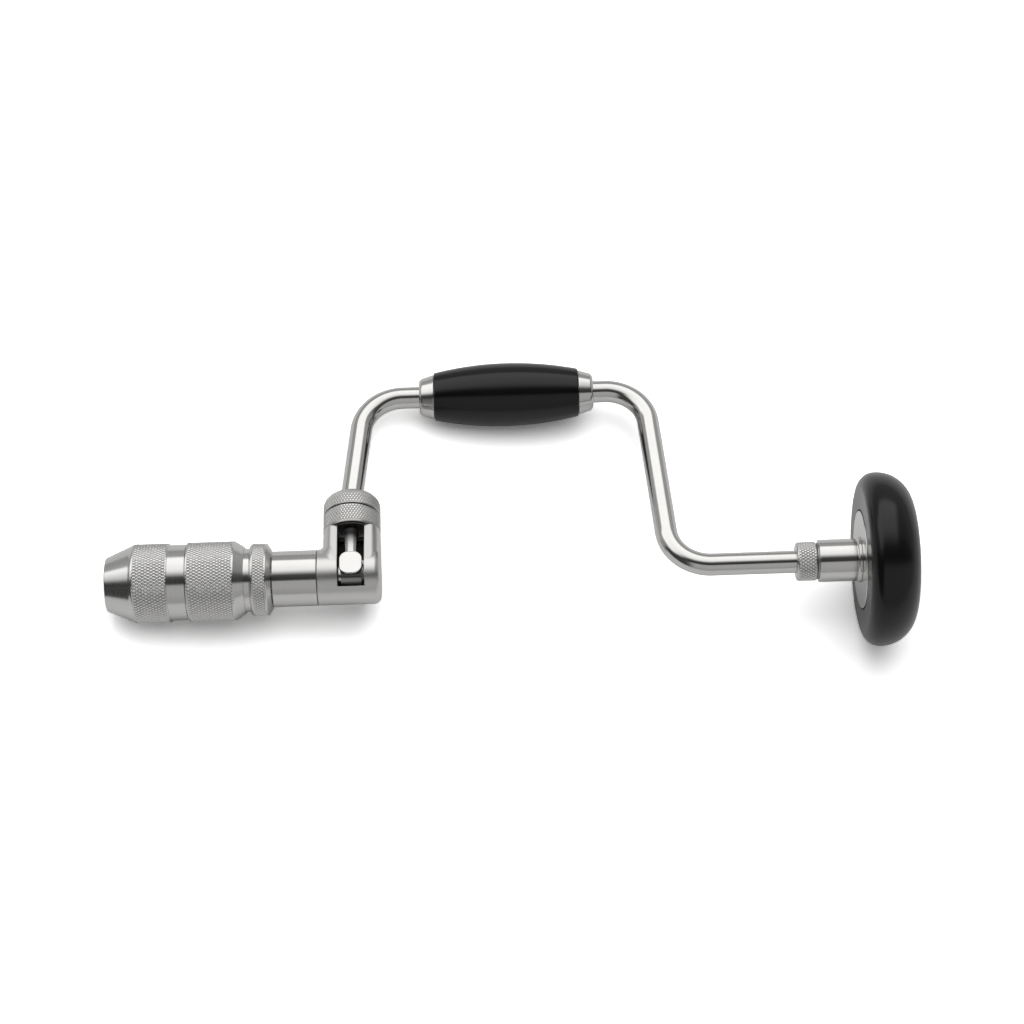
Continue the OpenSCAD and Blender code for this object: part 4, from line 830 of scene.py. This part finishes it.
# Floor: white to the camera up to the brace's own shadow, grey paper in the metal's reflections
floorLook = {"size": 12.0, "tone": 0.62, "mirrored": 0.66, "seen": 1.65, "grain": 0.005}
floorZ = cadBox[0][2]
floorMesh = bpy.data.meshes.new("floor")
h = floorLook["size"] / 2
floorCorners = [(-h, -h, floorZ), (h, -h, floorZ), (h, h, floorZ), (-h, h, floorZ)]
floorMesh.from_pydata(floorCorners, [], [(0, 1, 2, 3)])
floor = bpy.data.objects.new("floor", floorMesh)
bpy.context.scene.collection.objects.link(floor)
floorPaper, tree, shader = newMaterial("floorPaper", {"Roughness": 0.9, "Specular IOR Level": 0.1})
grain = addNode(tree, "ShaderNodeTexNoise",
                {"Vector": addNode(tree, "ShaderNodeTexCoord").outputs["Object"], "Scale": 3.0})
rays = addNode(tree, "ShaderNodeLightPath").outputs
mirrored = maths(tree, "MAXIMUM", rays["Is Glossy Ray"], rays["Is Transmission Ray"])
paper = addNode(tree, "ShaderNodeMapRange",
                {"Value": mirrored, 3: floorLook["tone"], 4: floorLook["mirrored"]}).outputs[0]
paper = addNode(tree, "ShaderNodeMix", {0: rays["Is Camera Ray"], 2: paper, 3: floorLook["seen"]}).outputs[0]
uneven = blend(tree, grain.outputs["Fac"], 1 - floorLook["grain"], 1 + floorLook["grain"])
tree.links.new(maths(tree, "MULTIPLY", paper, uneven), shader["Base Color"])
floorMesh.materials.append(floorPaper)

# World: a plain studio round the table with a softbox above and
# behind it; white where the camera looks past the floor
studio = {"walls": {-180: 0.45, -90: 0.42, -74: 0.45, -60: 0.5, -34: 0.5, -30: 0.05, -24: 0.04,
                    -7: 0.08, 5: 0.12, 15: 0.3, 61: 0.42, 75: 0.44, 88: 0.38, 108: 0.46},
          "softbox": {-180: 0.0, -8: 0.0, 1: 0.43, 8: 0.8, 15: 0.88, 28: 0.93, 38: 1.0, 57: 1.0, 62: 0.0},
          "leftDark": {-180: 0.0, -84: 0.0, -78: 0.88, -34: 0.88, -28: 0.0},
          "softboxLevel": 1.13, "leftFrom": (-0.45, -0.65), "leftDrop": 11.0, "left": (-0.9, -0.8),
          "right": (0.588, 0.454)}
world = bpy.data.worlds.new("studio")
bpy.context.scene.world = world
world.use_nodes = True
tree = world.node_tree
direction = addNode(tree, "ShaderNodeSeparateXYZ",
                    {0: addNode(tree, "ShaderNodeTexCoord").outputs["Generated"]}).outputs
around = maths(tree, "ARCTAN2", direction[1], direction[2])        # 0 overhead, positive away from the camera
leftStart, leftFull = studio["leftFrom"]
toLeft = addNode(tree, "ShaderNodeMapRange", {"Value": direction[0], 1: leftStart, 2: leftFull}).outputs[0]
lower = maths(tree, "MULTIPLY", toLeft, np.radians(studio["leftDrop"]))    # panels hang lower at the left
around = maths(tree, "ADD", lower, around)
place = addNode(tree, "ShaderNodeMapRange", {"Value": around, 1: -np.pi, 2: np.pi}).outputs[0]


def levelsAround(levels):          # brightness by the angle round the brace's length, in degrees
    ramp = addNode(tree, "ShaderNodeValToRGB", {0: place})
    stops = ramp.color_ramp.elements
    stops.remove(stops[1])
    for angle, level in levels.items():
        stop = stops[0] if angle == -180 else stops.new((angle + 180) / 360)
        stop.color = (level, level, level, 1)
    return ramp.outputs[0]


panel = levelsAround(studio["softbox"])
for side in ("left", "right"):     # the panel fades out over these sideways directions
    edge, full = studio[side]
    inner = addNode(tree, "ShaderNodeMapRange", {"Value": direction[0], 1: edge, 2: full}).outputs[0]
    panel = maths(tree, "MULTIPLY", panel, inner)
walls = levelsAround(studio["walls"])
leftDark = maths(tree, "MULTIPLY", levelsAround(studio["leftDark"]), toLeft)
walls = maths(tree, "MULTIPLY", walls, maths(tree, "SUBTRACT", 1.0, leftDark))
room = maths(tree, "MULTIPLY_ADD", panel, studio["softboxLevel"], walls)
toCamera = addNode(tree, "ShaderNodeLightPath").outputs["Is Camera Ray"]
level = addNode(tree, "ShaderNodeMix", {0: toCamera, 2: room, 3: 1.0}).outputs[0]
tree.links.new(level, tree.nodes["Background"].inputs["Color"])

# Lamp: a second panel overhead that is not mirrored, for the contact shadows
lampLook = {"aim": (185, 40, 0), "offVertical": 4.0, "sideways": 4.0, "distance": 1.25, "width": 1.1,
            "height": 1.1, "level": 2.1}
tilt, yaw = np.radians(lampLook["offVertical"]), np.radians(lampLook["sideways"])
toLamp = np.array([np.sin(yaw), np.cos(yaw) * np.sin(tilt), np.cos(yaw) * np.cos(tilt)])
lampSide = np.array([1.0, 0, 0]) - toLamp * toLamp[0]
lampSide /= np.linalg.norm(lampSide)
pose = np.eye(4)
pose[:3, 0], pose[:3, 1], pose[:3, 2] = lampSide, np.cross(toLamp, lampSide), toLamp
pose[:3, 3] = toRow(lampLook["aim"]) + toLamp * lampLook["distance"]
lamp = bpy.data.lights.new("overhead", "AREA")
lamp.shape, lamp.size, lamp.size_y = "RECTANGLE", lampLook["width"], lampLook["height"]
lamp.energy = lampLook["level"] * np.pi * lampLook["width"] * lampLook["height"]
lampObject = bpy.data.objects.new("overhead", lamp)
lampObject.matrix_world = Matrix(pose)
lampObject.visible_camera = False
lampObject.visible_glossy = False
bpy.context.scene.collection.objects.link(lampObject)

# Camera: where the photograph was taken from, in the brace's own axes
view = {"target": (185.9, 32.52, 0.0), "distance": 1202.65, "elevation": 56.378, "yaw": 0.855,
        "roll": -1.207, "lens": 91.13}
up, turn, roll = np.radians([view["elevation"], view["yaw"], view["roll"]])
look = np.array([np.sin(turn) * np.cos(up), np.cos(turn) * np.cos(up), -np.sin(up)])
level = np.array([np.cos(turn), -np.sin(turn), 0.0])
right = level * np.cos(roll) + np.cross(level, look) * np.sin(roll)
pose = np.eye(4)
pose[:3, :3] = (np.stack([right, np.cross(right, look), -look]) @ braceAxes).T
pose[:3, 3] = toRow(np.array(view["target"]) - view["distance"] * look)
cameraData = bpy.data.cameras.new("camera")
cameraData.lens, cameraData.sensor_width, cameraData.sensor_fit = view["lens"], 36.0, "HORIZONTAL"
cameraData.clip_start, cameraData.clip_end = 0.05, 50.0
camera = bpy.data.objects.new("camera", cameraData)
camera.matrix_world = Matrix(pose)
bpy.context.scene.collection.objects.link(camera)
bpy.context.scene.camera = camera
bpy.context.scene.view_settings.view_transform = "Standard"
print("studio and camera set")
